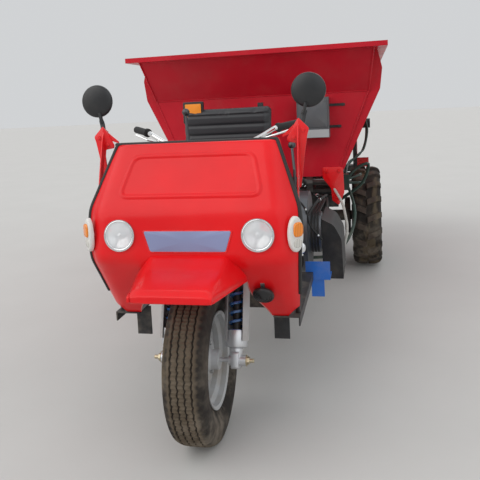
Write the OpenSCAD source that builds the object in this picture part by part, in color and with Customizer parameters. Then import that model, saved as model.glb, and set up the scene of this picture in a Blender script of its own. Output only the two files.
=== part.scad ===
// Self-propelled three-wheeled manure spreader.
// Front faces -Y, the driver's left is +X, the floor is z = 0.

/* [Wheels] */
// Distance from the front axle to the rear axle
wheelbase = 2870; // [2700:10:3100]
// Distance between the middles of the rear tyres
rear_track = 1348; // [1300:2:1400]
// Front tyre outer radius
front_tyre_r = 336; // [326:1:340]
// Front tyre section width
front_tyre_w = 165; // [145:1:170]
// Front rim flange radius
front_rim_r = 188; // [180:1:200]
// Rear tyre outer radius, out to the lug tips
rear_tyre_r = 406; // [396:1:415]
// Rear tyre section width
rear_tyre_w = 215; // [195:1:225]
// Rear rim flange radius
rear_rim_r = 214; // [205:1:225]

/* [Steering] */
// Rake of the steering axis from upright, in degrees
rake = 20; // [17:0.5:22]
// Distance from the steering axis forward to the fork legs
leg_offset = 50; // [45:1:60]
// Distance of each fork leg from the middle
leg_x = 138; // [132:1:146]
// Radius of the fork's upper tubes
leg_r = 17; // [15:0.5:19]
// Handlebar height above the floor at its middle
bar_z = 1205; // [1185:5:1225]
// Half width of the handlebar over its grips
bar_half = 385; // [350:5:395]

/* [Fairing] */
// Sheet thickness of the moulded fairing
fairing_t = 6; // [5:0.5:8]
// Height of the top edge
fairing_top_z = 1232; // [1210:2:1250]
// Height of the shoulder crease
crease_z = 975; // [960:2:990]
// Height of the lower crease under the lamps
lower_crease_z = 790; // [780:2:800]
// Half width of the front face at the top edge
fairing_top_half = 322; // [310:1:335]
// Half width of the front face at the shoulder crease
fairing_mid_half = 368; // [355:1:380]
// Half width over the outer edges at the shoulder
shoulder_half = 428; // [415:1:440]
// Headlight radius over its rim
lamp_r = 63; // [56:1:68]
// Distance of each headlight from the middle
lamp_x = 276; // [265:1:285]
// How far the nose reaches ahead of the band
nose_reach = 258; // [240:2:270]
// Half width of the nose at its front lip
nose_half = 150; // [135:1:165]

/* [Frame] */
// Distance of each rail's middle from the middle of the machine
rail_x = 235; // [225:1:245]
// Rail width
rail_w = 50; // [40:2:60]
// Height of the front rails' top
front_rail_top = 500; // [490:2:510]
// Height of the rear rails' top
rear_rail_top = 650; // [640:2:665]
// Rail depth
rail_h = 84; // [70:2:90]

/* [Hopper] */
// Where the hopper's lower front wall stands, behind the front axle
hopper_front = 1690; // [1680:5:1720]
// Length of the hopper at its lower part
hopper_len = 2210; // [2150:10:2300]
// Outer half width at the floor
hopper_floor_half = 489; // [475:1:500]
// Outer half width at the fold
hopper_fold_half = 705; // [690:1:720]
// Outer half width at the top
hopper_top_half = 745; // [730:1:765]
// Height of the hopper's underside
hopper_floor_z = 880; // [870:2:900]
// Height of the fold between trough and flare
hopper_fold_z = 1421; // [1400:2:1450]
// Height of the top rim
hopper_top_z = 1706; // [1680:2:1740]
// How far the front flare leans forward
front_lean = 221; // [190:2:240]
// Sheet thickness
hopper_t = 6; // [4:0.5:8]
// Width of the side rim
rim_w = 75; // [60:1:85]
// Number of ribs on each side
rib_count = 5; // [4:1:6]

/* [Spreader] */
// Spinner disc radius
disc_r = 280; // [260:5:300]
// Distance of each spinner from the middle
disc_x = 300; // [290:2:320]
// Height of the spinner discs
disc_z = 640; // [620:5:660]
// Number of vanes on each spinner
vane_count = 6; // [4:1:6]
// Beater radius to the tips of its blades
beater_r = 165; // [150:5:170]
// Lift of the rear gate
gate_lift = 300; // [250:10:320]

/* [Hidden] */
$fn = 96;

// Gap between pieces that rest against each other on a curve
seat_gap = 0.3;
// Radial running clearance of a shaft in its bore
run_gap = 0.1;

// Fairing stations along the machine
band_y = -145;
crease_y = -125;
fairing_top_y = 38;
fairing_foot_y = 66;
band_tilt = atan2(crease_y - band_y, crease_z - lower_crease_z);
board_top = front_rail_top + 6;
crease_round = 34;
corner_round = 42;
round_steps = 4;
// Level table of the fairing: height, front face y, front half width, rear edge y, rear edge half width
fairing_levels = [
    [board_top, fairing_foot_y, 374, 96, 396],
    [lower_crease_z, band_y, 378, -88, 424],
    [crease_z, crease_y, fairing_mid_half, -62, shoulder_half],
    [fairing_top_z, fairing_top_y, fairing_top_half, 58, fairing_top_half + 14]];

// Stations of the hopper and the spreader
hopper_end = hopper_front + hopper_len;
beater_y = hopper_end + 240;
beater_z = hopper_floor_z + 240;
disc_y = hopper_end + 330;
guard_y = disc_y + disc_r + 40;
guard_r = 15;

// The origin lies under the middle of the overall box
front_end = band_y - nose_reach;
rear_end = guard_y + guard_r;
origin_y = (front_end + rear_end) / 2;

// Points on a circle arc in a profile
function arc(c, r, a0, a1, n) = [for (i = [0 : n]) c + r * [cos(a0 + (a1 - a0) * i / n),
    sin(a0 + (a1 - a0) * i / n)]];

// Straight round bar between two points
module rod(a, b, r) {
    v = b - a;
    translate(a) rotate([0, acos(v[2] / norm(v)), atan2(v[1], v[0])]) cylinder(h = norm(v), r = r);
}

// Smooth curve through a list of points, n steps between two of them
function curve(p, n) = [for (i = [0 : len(p) - 2], k = [0 : n - (i == len(p) - 2 ? 0 : 1)])
    let (a = p[max(i - 1, 0)], b = p[i], c = p[i + 1], d = p[min(i + 2, len(p) - 1)], t = k / n)
    0.5 * (2 * b + (c - a) * t + (2 * a - 5 * b + 4 * c - d) * t * t + (3 * b - a - 3 * c + d) * t * t * t)];

// Path whose inner corners are rounded over the distance d, n steps each; works in any dimension
function bend(a, b, c, d, n) = let (from = b + d * unit(a - b), to = b + d * unit(c - b))
    [for (k = [0 : n]) let (t = k / n) (1 - t) * (1 - t) * from + 2 * t * (1 - t) * b + t * t * to];
function rounded(p, d, n) = [p[0], for (i = [1 : len(p) - 2]) each bend(p[i - 1], p[i], p[i + 1], d, n),
    p[len(p) - 1]];

// Directions along a path, and side vectors carried along it without twist
function unit(v) = v / norm(v);
function heading(p, i) = i == 0 ? unit(p[1] - p[0]) : i == len(p) - 1 ? unit(p[i] - p[i - 1])
    : unit(unit(p[i] - p[i - 1]) + unit(p[i + 1] - p[i]));
function side_of(t) = unit(cross(t, abs(t[2]) < 0.8 ? [0, 0, 1] : [1, 0, 0]));
function sides(p, i = 0, found = []) = i == len(p) ? found
    : let (t = heading(p, i), s = i == 0 ? side_of(t) : found[i - 1])
    sides(p, i + 1, concat(found, [unit(s - (s * t) * t)]));

// Round bar or hose bent along a path
module tube(p, r, n = 12) {
    s = sides(p);
    m = len(p);
    points = [for (i = [0 : m - 1], k = [0 : n - 1])
        p[i] + r * (s[i] * cos(k * 360 / n) + cross(heading(p, i), s[i]) * sin(k * 360 / n))];
    polyhedron(points, concat([[for (k = [0 : n - 1]) k], [for (k = [n - 1 : -1 : 0]) (m - 1) * n + k]],
        [for (i = [0 : m - 2], k = [0 : n - 1]) let (a = i * n + k, b = i * n + (k + 1) % n)
            each [[a, a + n, b], [b, a + n, b + n]]]));
}

// Box from its lowest to its highest corner
module block(a, b) {
    translate(a) cube(b - a);
}

// Outline in the YZ plane, extruded across the machine from x0 to x1
module side_plate(points, x0, x1) {
    translate([x0, 0, 0]) rotate([90, 0, 90]) linear_extrude(x1 - x0) polygon(points);
}

// Outline in the XZ plane, extruded along the machine from y0 to y1
module cross_plate(points, y0, y1) {
    translate([0, y1, 0]) rotate([90, 0, 0]) linear_extrude(y1 - y0) polygon(points);
}

// A piece and its mirror image on the machine's right
module both_sides() {
    children();
    mirror([1, 0, 0]) children();
}

// Cylinder along X from x0 to x1
module x_cylinder(x0, x1, y, z, r) {
    translate([x0, y, z]) rotate([0, 90, 0]) cylinder(h = x1 - x0, r = r);
}

module placed() {
    translate([0, -origin_y, 0]) children();
}

// Frame of the steering axis: Z up the axis, -Y towards the fork legs, the axle at z = 0
steer_foot = [0, leg_offset * cos(rake), front_tyre_r - leg_offset * sin(rake)];
module steered() {
    translate(steer_foot) rotate([-rake, 0, 0]) children();
}

lower_yoke_z = 470;
yoke_t = 20;
upper_yoke_z = 680;
stem_r = 17;
head_tube_r = 28;

// Chassis
rail_in = rail_x - rail_w / 2;
rail_out = rail_x + rail_w / 2;
front_rail_y = 425;
rail_end = hopper_end;
kick_y = 1600;
gusset_half = 32;

module chassis_frame() {
    color([0.07, 0.07, 0.08]) difference() {
        union() {
            both_sides() side_plate([[front_rail_y, front_rail_top - rail_h], [front_rail_y, front_rail_top],
                [kick_y, front_rail_top], [kick_y + 120, rear_rail_top], [rail_end, rear_rail_top],
                [rail_end, rear_rail_top - rail_h], [kick_y + 150, rear_rail_top - rail_h],
                [kick_y + 30, front_rail_top - rail_h]], rail_in, rail_out);
            for (y = [front_rail_y, 1380]) block([-rail_in, y, front_rail_top - rail_h],
                [rail_in, y + 50, front_rail_top]);
            for (y = [hopper_front + 460, wheelbase + 430, rail_end - 50])
                block([-rail_in, y, rear_rail_top - rail_h], [rail_in, y + 50, rear_rail_top]);
            side_plate([[front_rail_y + 50, front_rail_top], [front_rail_y - 15, front_rail_top],
                [front_rail_y - 15, front_rail_top - 20], [228, 812], [268, 928], [300, 932], [345, 880]],
                -gusset_half, gusset_half);
            steered() translate([0, 0, lower_yoke_z + yoke_t + 4])
                cylinder(h = upper_yoke_z - lower_yoke_z - yoke_t - 8, r = head_tube_r);
        }
        steered() translate([0, 0, lower_yoke_z]) cylinder(h = upper_yoke_z - lower_yoke_z + 100,
            r = stem_r + run_gap);
    }
}

// Floor plates for the driver's feet, with the flaps that hang ahead of them
board_half = 400;
flap_x = 310;
flap_w = 66;
flap_y = 158;
board_end = 730;
module footboards() {
    color([0.08, 0.08, 0.09]) difference() {
        union() {
            block([-board_half, front_rail_y, front_rail_top], [board_half, board_end, board_top]);
            both_sides() {
                block([flap_x - 20, 60, front_rail_top], [board_half, front_rail_y + 1, board_top]);
                block([flap_x - flap_w / 2, flap_y, 372],
                    [flap_x + flap_w / 2, flap_y + 8, front_rail_top + 1]);
                block([board_half - 6, 60, front_rail_top - 34], [board_half, board_end, front_rail_top + 1]);
            }
        }
        block([-gusset_half - 1, front_rail_y - 10, front_rail_top - 1],
            [gusset_half + 1, front_rail_y + 52, board_top + 1]);
    }
}

// Solid inside the fairing's outer faces, moved out by grow, opened to the rear by back, to below by low
lower_lean = atan2(fairing_foot_y - band_y, lower_crease_z - board_top);
module fairing_block(grow, back, low = 0, high = 0) {
    foot = fairing_levels[0] + low * [-1, tan(lower_lean), 0, tan(lower_lean), 0];
    top = fairing_levels[3] + [high, 0, 0, 0, 0];
    levels = rounded([foot, fairing_levels[1], fairing_levels[2], top], crease_round, round_steps);
    // One level's outline, from the right rear edge round the front to the left rear edge
    function outline(l) = let (rear = l[4] + 1.2 * grow, front = l[2] + 0.6 * grow)
        rounded([[-rear, l[3] + back, l[0]], [-front, l[1] - grow, l[0]], [front, l[1] - grow, l[0]],
            [rear, l[3] + back, l[0]]], corner_round, round_steps);
    rings = [for (l = levels) outline(l)];
    m = len(rings[0]);
    n = len(rings);
    polyhedron([for (r = rings) each r], concat([[for (k = [0 : m - 1]) k],
        [for (k = [m - 1 : -1 : 0]) m * (n - 1) + k]],
        [for (i = [0 : n - 2], k = [0 : m - 1]) let (a = m * i + k, b = m * i + (k + 1) % m)
            each [[a, a + m, b], [b, a + m, b + m]]]));
}

// Places a child on the lamp band at x, z, its Z pointing forward out of the face
module on_band(x, z) {
    translate([x, band_y + (z - lower_crease_z) * tan(band_tilt), z])
        rotate([90 - band_tilt, 0, 0]) children();
}

lamp_z = 886;
lamp_hole_r = lamp_r - 8;

// Raised bead of the upper panel, in the panel's own plane
panel_lean = atan2(fairing_top_y - crease_y, fairing_top_z - crease_z);
module on_panel() {
    translate([0, crease_y, crease_z]) rotate([90 - panel_lean, 0, 0]) children();
}
module trapezoid(low_half, high_half, low_y, high_y, r, n = 5) {
    side = atan2(low_half - high_half, high_y - low_y);
    polygon(concat(arc([low_half - r, low_y + r], r, -90, side, n),
        arc([high_half - r, high_y - r], r, side, 90, n),
        arc([r - high_half, high_y - r], r, 90, 180 - side, n),
            arc([r - low_half, low_y + r], r, 180 - side, 270, n)));
}
module panel_bead() {
    bead_w = 10;
    on_panel() translate([0, 0, -2]) linear_extrude(7) difference() {
        trapezoid(292, 252, 62, 252, 30);
        trapezoid(292 - bead_w, 252 - bead_w, 62 + bead_w, 252 - bead_w, 24);
    }
}

// The nose over the wheel: an open bonnet with a turned-down lip
nose_lip_z = 704;
nose_root = 222;
nose_top_half = 150;
module nose_solid(grow) {
    root = band_y + 30;
    front = front_end - grow;
    polyhedron([
        [-nose_root - grow, root, nose_lip_z - 2 * max(0, -grow)],
            [-nose_half - grow, front, nose_lip_z - 2 * max(0, -grow)],
        [nose_half + grow, front, nose_lip_z - 2 * max(0, -grow)],
            [nose_root + grow, root, nose_lip_z - 2 * max(0, -grow)],
        [-nose_root - grow, root, nose_lip_z + 20 + grow],
            [-nose_half - grow, front, nose_lip_z + 20 + grow],
        [nose_half + grow, front, nose_lip_z + 20 + grow], [nose_root + grow, root, nose_lip_z + 20 + grow],
        [-nose_top_half - grow, root, 815 + grow], [-nose_top_half - grow, band_y - 75, 772 + grow],
        [nose_top_half + grow, band_y - 75, 772 + grow], [nose_top_half + grow, root, 815 + grow],
        [-nose_half + 14 - grow, front + 22, 742 + grow], [nose_half - 14 + grow, front + 22, 742 + grow]],
        [[0, 1, 2, 3], [0, 4, 5, 1], [1, 5, 6, 2], [2, 6, 7, 3], [3, 7, 4, 0], [4, 8, 9], [4, 9, 12],
            [4, 12, 5],
        [5, 12, 13, 6], [6, 13, 7], [13, 10, 7], [10, 11, 7], [7, 11, 8, 4], [8, 11, 10, 9],
            [9, 10, 13, 12]]);
}

arch_half = 214;
module fairing() {
    color([0.85, 0.02, 0.03]) difference() {
        union() {
            difference() {
                fairing_block(0, 0);
                fairing_block(-fairing_t, 40, 30, -fairing_t);
            }
            panel_bead();
            difference() {
                nose_solid(0);
                nose_solid(-fairing_t);
                fairing_block(-fairing_t / 2, 60, 30, -fairing_t);
            }
        }
        cross_plate(rounded([[-300, 400], [-286, 516], [-arch_half, 630], [-arch_half, nose_lip_z + 4],
            [arch_half, nose_lip_z + 4], [arch_half, 630], [286, 516], [300, 400]], 34, 3), -100, 200);
        both_sides() cross_plate(rounded([[460, 400], [330, 400], [344, 500], [396, 552], [460, 560]], 26,
            3), -100, 200);
        both_sides() on_band(lamp_x, lamp_z) translate([0, 0, -30]) cylinder(h = 60, r = lamp_hole_r);
    }
}

// Black tube hoop behind the fairing's rear edge
hoop_r = 11;
hoop = [[board_half - 14, 118, board_top], [shoulder_half - 12, -34, lower_crease_z],
    [shoulder_half - 8, -26, crease_z],
    [fairing_top_half + 2, 84, fairing_top_z - 4]];
module fairing_hoop() {
    color([0.05, 0.05, 0.05]) {
        both_sides() {
            difference() {
                tube(curve(hoop, 3), hoop_r);
                block([200, 0, board_top - 30], [500, 200, board_top]);
            }
            block([shoulder_half - 20, -26, crease_z - 30], [shoulder_half - 14, 10, crease_z + 30]);
        }
        rod([-hoop[3][0] - 8, hoop[3][1], hoop[3][2]], hoop[3] + [8, 0, 0], hoop_r);
    }
}

module headlight_bowls() {
    color([0.85, 0.85, 0.86]) both_sides() on_band(lamp_x, lamp_z) difference() {
        union() {
            translate([0, 0, seat_gap]) cylinder(h = 9, r = lamp_r);
            translate([0, 0, -46]) cylinder(h = 47, r = lamp_hole_r - 2);
        }
        translate([0, 0, 62]) sphere(r = 76);
        translate([0, 0, 3]) cylinder(h = 20, r = lamp_r - 6);
    }
}

module headlight_lenses() {
    color([0.9, 0.93, 0.95]) both_sides() on_band(lamp_x, lamp_z) intersection() {
        translate([0, 0, 3 + seat_gap]) cylinder(h = 20, r = lamp_r - 6 - seat_gap);
        difference() {
            translate([0, 0, -150]) sphere(r = 168);
            translate([0, 0, -150]) sphere(r = 164);
            translate([0, 0, -30]) cylinder(h = 33 + 2 * seat_gap, r = 20);
        }
    }
}

// Oval lamps on the fairing's side chamfers
signal_z = 885;
signal_half = 68;
signal_half_w = 30;
signal_arc = (signal_half * signal_half + signal_half_w * signal_half_w) / (2 * signal_half_w);
module signal_outline(grow) {
    intersection() {
        translate([signal_arc - signal_half_w - grow, 0]) circle(r = signal_arc);
        translate([signal_half_w + grow - signal_arc, 0]) circle(r = signal_arc);
        square([4 * signal_half_w, 2 * signal_half - 16 + grow], center = true);
    }
}
module turn_signals() {
    color([0.9, 0.6, 0.3]) both_sides() difference() {
        translate([(fairing_levels[1][2] + fairing_levels[2][4]) / 2, (band_y + fairing_levels[2][3]) / 2,
            signal_z])
            rotate([90, 0, 47]) {
                translate([0, 0, -6]) cylinder(h = 18, r = 9);
                translate([0, 0, 8]) linear_extrude(14) signal_outline(0);
                translate([0, 0, 22]) linear_extrude(9) signal_outline(-5);
            }
        fairing_block(0.8, 0);
    }
}

// Places a child on the lower panel at x, z, its Z pointing out of the face
module on_lower(x, z) {
    translate([x, band_y + (lower_crease_z - z) * tan(lower_lean), z])
        rotate([90 + lower_lean, 0, 0]) children();
}

module horn() {
    color([0.04, 0.04, 0.04]) on_lower(272, 640) {
        cylinder(h = 14, r = 12);
        translate([0, 0, 14]) cylinder(h = 14, r = 41);
        translate([0, 0, 28]) cylinder(h = 12, r1 = 41, r2 = 28);
    }
}

// Red straps that stand on the hoop's lugs and carry the mirrors
mirror_y = 159;
mirror_z = 1420;
mirror_x = 458;
mirror_r = 70;
strap_x = shoulder_half - 14;
mirror_pivot = [125, fairing_top_z + 38];
module mirror_brackets() {
    color([0.8, 0.02, 0.03]) both_sides() difference() {
        union() {
            side_plate([[-24, crease_z - 26], [8, crease_z - 26], mirror_pivot + [-15, -30],
                mirror_pivot + [25, 15], mirror_pivot + [-15, 32], mirror_pivot + [-43, -10]],
                strap_x, strap_x + 5);
            cross_plate([[strap_x + 5, mirror_pivot[1] + 32], [strap_x + 5, mirror_pivot[1] - 8],
                [strap_x - 62, fairing_top_z + 4], [strap_x - 62, fairing_top_z + 12]], 104, 109);
        }
        tube(curve(hoop, 3), hoop_r + seat_gap);
    }
}

module mirrors() {
    color([0.03, 0.03, 0.035]) both_sides() {
        difference() {
            translate([mirror_x, mirror_y, mirror_z]) rotate([90, 0, 0]) {
                cylinder(h = 12, r = mirror_r);
                translate([0, 0, 12]) cylinder(h = 14, r1 = mirror_r, r2 = mirror_r - 26);
            }
            translate([mirror_x, mirror_y, mirror_z]) rotate([90, 0, 0]) translate([0, 0, -1])
                cylinder(h = 5, r = mirror_r - 5);
        }
        cross_plate([[mirror_x - 62, mirror_z - 30], [mirror_x + 20, mirror_z - 66],
            [strap_x + 26, mirror_z - 100], [strap_x - 4, mirror_z - 100]], mirror_y - 22, mirror_y - 8);
        rod([strap_x + 12, mirror_y - 12, mirror_z - 99], [strap_x + 12, mirror_pivot[0], mirror_pivot[1]],
            6);
        x_cylinder(strap_x + 5, strap_x + 20, mirror_pivot[0], mirror_pivot[1], 12);
    }
}

module mirror_glasses() {
    color([0.6, 0.7, 0.8]) both_sides() translate([mirror_x, mirror_y, mirror_z]) rotate([90, 0, 0])
        cylinder(h = 4 - seat_gap, r = mirror_r - 5 - seat_gap);
}

// Seat
seat_x = -90;
seat_w = 540;
seat_y = 740;
seat_z = 930;
module seat_frame() {
    color([0.08, 0.08, 0.08]) {
        block([seat_x - 230, seat_y + 20, seat_z - 12], [seat_x + 230, seat_y + 360, seat_z]);
        for (x = [-250, 215], y = [seat_y + 20, seat_y + 330])
            block([x, y, front_rail_top], [x + 30, y + 30, seat_z - 11]);
        for (x = [seat_x - 200, seat_x + 170])
            side_plate([[seat_y + 361, seat_z - 12], [seat_y + 400, seat_z - 12], [seat_y + 440, 1380],
                [seat_y + 415, 1380],
                [seat_y + 375, seat_z], [seat_y + 360, seat_z], [seat_y + 359, seat_z - 6]], x, x + 30);
    }
}
module seat_cushion() {
    color([0.05, 0.05, 0.055]) block([seat_x - seat_w / 2, seat_y, seat_z],
        [seat_x + seat_w / 2, seat_y + 350, seat_z + 90]);
}
module seat_back() {
    color([0.05, 0.05, 0.055]) side_plate([[seat_y + 320, seat_z + 110], [seat_y + 376, seat_z + 110],
        [seat_y + 414, 1375], [seat_y + 350, 1375]], seat_x - seat_w / 2, seat_x + seat_w / 2);
}

// Gear lever, gate lever and the two pedals
module control_levers() {
    color([0.7, 0.7, 0.7]) {
        tube([[-180, 560, board_top], [-180, 560, board_top + 40], [-180, 600, 1120], [-195, 620, 1340]], 7,
            10);
        tube([[330, 690, board_top], [330, 690, board_top + 40], [330, 680, 1040], [318, 716, 1150]], 7, 10);
        for (knob = [[-195, 620, 1350], [318, 720, 1160]]) translate(knob) sphere(r = 19, $fn = 24);
        for (x = [-270, 240]) {
            tube([[x, 560, board_top], [x, 560, board_top + 20], [x, 520, 570], [x, 470, 600]], 8, 10);
            side_plate([[452, 588], [458, 582], [496, 618], [490, 624]], x - 40, x + 40);
        }
    }
}

module control_box() {
    color([0.45, 0.46, 0.48]) block([258, hopper_front - 112, 1140], [458, hopper_front, 1395]);
}

// Engine
crank_y = 1000;
crank_z = 660;
flywheel_r = 225;
flywheel_x = 300;
flywheel_w = 70;
crank_r = 28;
pulley_y = 1620;
pulley_z = 600;
crank_pulley_r = 110;
clutch_pulley_r = 150;
belt_x = 378;
belt_w = 16;
belt_count = 3;
engine_side = 150;

// Horizontal single cylinder: crankcase, finned barrel and head towards the front
barrel_front = 650;
fin_count = 6;
fin_pitch = 30;
head_half = 125;
head_mid = barrel_front - 18;
module engine_block() {
    color([0.25, 0.28, 0.3]) difference() {
        union() {
            side_plate(rounded([[850, 660], [850, 470], [1220, 470], [1220, 850], [850, 850], [850, 661]],
                40, 3),
                -engine_side, engine_side);
            block([-110, barrel_front, 565], [110, 851, 770]);
            for (i = [0 : fin_count - 1])
                block([-122, barrel_front + 18 + fin_pitch * i, 555],
                    [122, barrel_front + 30 + fin_pitch * i, 780]);
            block([-head_half, barrel_front - 38, 560], [head_half, barrel_front, 775]);
            for (y = [870, 1150]) block([4 - rail_out, y, front_rail_top],
                [rail_out - 4, y + 54, front_rail_top + 18]);
            x_cylinder(engine_side - 1, engine_side + 26, crank_y, crank_z, 70);
            x_cylinder(-engine_side - 22, 1 - engine_side, crank_y, crank_z, 120);
            for (a = [0 : 60 : 300])
                x_cylinder(-engine_side - 30, -engine_side - 21, crank_y + 104 * cos(a),
                    crank_z + 104 * sin(a), 9);
        }
        x_cylinder(engine_side - 60, engine_side + 30, crank_y, crank_z, crank_r + run_gap);
    }
}

// Valve cover, water tank, injection pump, timing cover and starter, in cast alloy
module engine_covers() {
    color([0.62, 0.62, 0.62]) {
        side_plate(rounded([[1040, 892], [860, 892], [860, 850], [1200, 850], [1200, 892], [1041, 892]],
            12, 2), -120, 120);
        translate([60, 1160, 891]) cylinder(h = 17, r = 26);
        side_plate(rounded([[580, 680], [580, 590], [612, 590], [612, 745], [580, 745], [580, 681]], 12,
            2), -90, 90);
        block([engine_side, 870, 750], [engine_side + 34, 960, 830]);
        block([122, 700, 600], [engine_side + 30, 790, 720]);
        block([136, 720, 720], [engine_side + 16, 770, 752]);
        x_cylinder(-engine_side - 60, -engine_side - 22, crank_y, crank_z, 60);
        translate([-engine_side - 48, 1240, 566]) rotate([90, 0, 0]) cylinder(h = 112, r = 40);
        block([-engine_side - 48, 1132, 530], [-engine_side, 1196, 600]);
    }
}

// Air cleaner on its foot, with the pipe to the head
module air_cleaner() {
    x = 222;
    y = 1290;
    color([0.05, 0.05, 0.05]) {
        translate([x, y, 560]) rotate_extrude() polygon([[0, 0], [56, 0], [62, 10], [62, 150], [50, 168],
            [50, 182], [66, 186],
            [66, 198], [30, 212], [0, 212]]);
        translate([x, y, front_rail_top]) cylinder(h = 61, r = 18);
        tube(concat(curve([[x - 48, y - 10, 700], [188, 1200, 770], [182, 1060, 862], [176, 860, 862],
            [170, 720, 830], [150, head_mid, 735]], 4), [[head_half + seat_gap, head_mid, 735]]), 18);
    }
}

module flywheel() {
    color([0.2, 0.2, 0.21]) {
        difference() {
            x_cylinder(flywheel_x, flywheel_x + flywheel_w, crank_y, crank_z, flywheel_r);
            x_cylinder(flywheel_x - 1, flywheel_x + 26, crank_y, crank_z, flywheel_r - 38);
        }
        x_cylinder(engine_side - 40, flywheel_x + 27, crank_y, crank_z, crank_r);
        difference() {
            x_cylinder(flywheel_x + flywheel_w, belt_x + belt_count * belt_w + 8, crank_y, crank_z,
                crank_pulley_r);
            for (i = [0 : belt_count - 1]) difference() {
                x_cylinder(belt_x + i * belt_w, belt_x + (i + 1) * belt_w - 3, crank_y, crank_z,
                    crank_pulley_r + 1);
                x_cylinder(belt_x + i * belt_w - 1, belt_x + (i + 1) * belt_w, crank_y, crank_z,
                    crank_pulley_r - 9);
            }
        }
    }
}

// Belt loop around both pulleys
belt_t = 11;
module belt_outline(r0, r1) {
    d = norm([pulley_y - crank_y, pulley_z - crank_z]);
    a = acos((r0 - r1) / d);
    translate([crank_y, crank_z]) rotate(atan2(pulley_z - crank_z, pulley_y - crank_y))
        polygon(concat(arc([0, 0], r0, a, 360 - a, 48), arc([d, 0], r1, -a, a, 48)));
}
module drive_belts() {
    color([0.04, 0.04, 0.04]) for (i = [0 : belt_count - 1])
        translate([belt_x + i * belt_w + seat_gap, 0, 0]) rotate([90, 0, 90])
            linear_extrude(belt_w - 3 - 2 * seat_gap)
            difference() {
                belt_outline(crank_pulley_r - 9 + seat_gap + belt_t,
                    clutch_pulley_r - 9 + seat_gap + belt_t);
                belt_outline(crank_pulley_r - 9 + seat_gap, clutch_pulley_r - 9 + seat_gap);
            }
}

box_foot = 440;
box_half = 141;
module gearbox() {
    color([0.3, 0.3, 0.32]) {
        side_plate([[pulley_y - 130, box_foot], [pulley_y - 130, pulley_z + 40],
            [pulley_y - 80, pulley_z + 80], [pulley_y + 60, pulley_z + 80], [pulley_y + 120, pulley_z + 20],
            [pulley_y + 120, box_foot]], 1 - box_half, box_half - 1);
        block([-rail_in, pulley_y - 120, box_foot - 10], [rail_in, pulley_y - 70, box_foot + 30]);
        x_cylinder(box_half - 2, belt_x - 4, pulley_y, pulley_z, 24);
        x_cylinder(box_half - 2, box_half + 60, pulley_y, pulley_z, 60);
        difference() {
            x_cylinder(belt_x - 8, belt_x + belt_count * belt_w + 6, pulley_y, pulley_z, clutch_pulley_r);
            for (i = [0 : belt_count - 1]) difference() {
                x_cylinder(belt_x + i * belt_w, belt_x + (i + 1) * belt_w - 3, pulley_y, pulley_z,
                    clutch_pulley_r + 1);
                x_cylinder(belt_x + i * belt_w - 1, belt_x + (i + 1) * belt_w, pulley_y, pulley_z,
                    clutch_pulley_r - 9);
            }
        }
        rod([0, pulley_y + 115, 520], [0, wheelbase - axle_nose - 8, rear_tyre_r], 28);
        translate([0, wheelbase - axle_nose - seat_gap, rear_tyre_r]) rotate([90, 0, 0])
            cylinder(h = 18, r = 50);
        translate([0, pulley_y + 119, 520]) rotate([-90, 0, 0]) cylinder(h = 26, r = 48);
    }
}

module fuel_tank() {
    color([0.75, 0.03, 0.04]) {
        x_tank = -rail_out - 30;
        translate([0, 1270, 0]) cross_plate(concat(arc([x_tank - 40, 760], 40, 0, 90, 6),
            arc([x_tank - 170, 760], 40, 90, 180, 6),
            arc([x_tank - 170, 560], 40, 180, 270, 6), arc([x_tank - 40, 560], 40, 270, 360, 6)), 0, 330);
        translate([x_tank - 100, 1340, 799]) cylinder(h = 26, r = 28);
        for (y = [1300, 1530]) block([x_tank - 150, y, 500], [-rail_in - 10, y + 34, 521]);
    }
}

module radiator() {
    color([0.1, 0.1, 0.11]) {
        block([-190, 1384, front_rail_top], [190, 1430, 560]);
        block([-190, 1384, 840], [190, 1430, 900]);
        for (x = [-190, 170]) block([x, 1384, 559], [x + 20, 1430, 841]);
        block([-171, 1392, 559], [171, 1422, 841]);
        translate([0, 1407, 899]) cylinder(h = 18, r = 24);
    }
}

muffler_x = 340;
muffler_z = 440;
module exhaust() {
    color([0.35, 0.3, 0.27]) {
        tube(concat([[-head_half - seat_gap, head_mid, 720]], curve([[-150, head_mid, 720],
            [-230, head_mid + 20, 705], [-muffler_x, 740, 600], [-muffler_x, 840, muffler_z],
            [-muffler_x, 930, muffler_z]], 4)), 20);
        rod([-muffler_x, 920, muffler_z], [-muffler_x, 1230, muffler_z], 62);
        rod([-muffler_x, 1229, muffler_z], [-muffler_x, 1400, muffler_z], 20);
        for (y = [960, 1150]) block([-330, y, 498], [-rail_out, y + 30, 506]);
        for (y = [960, 1150]) block([-rail_out - 4, y, 440], [-rail_out, y + 30, 500]);
    }
}

// Rear axle and its springs
axle_r = 45;
axle_nose = 190;
stub_r = 38;
drum_in = 500;
rear_wheel_x = rear_track / 2;
hub_in = rear_wheel_x - rear_tyre_w / 2 - 16;
spring_half = 500;
spring_arc = 2300;
leaf_t = 9;
leaf_count = 5;
module rear_axle() {
    color([0.1, 0.1, 0.11]) translate([0, wheelbase, rear_tyre_r]) {
        x_cylinder(-drum_in, drum_in, 0, 0, axle_r);
        rotate([90, 0, 0]) rotate_extrude() polygon([[0, -104], [70, -104], [128, -62], [138, 0], [128, 52],
            [92, 84], [62, 120], [62, axle_nose], [0, axle_nose]]);
        both_sides() {
            x_cylinder(drum_in - 1, hub_in - 10, 0, 0, 150);
            x_cylinder(hub_in - 12, rear_wheel_x + 66, 0, 0, stub_r);
            block([rail_in + 2.3, -70, axle_r - 24], [rail_out - 2.3, 70, axle_r]);
        }
    }
}

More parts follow.
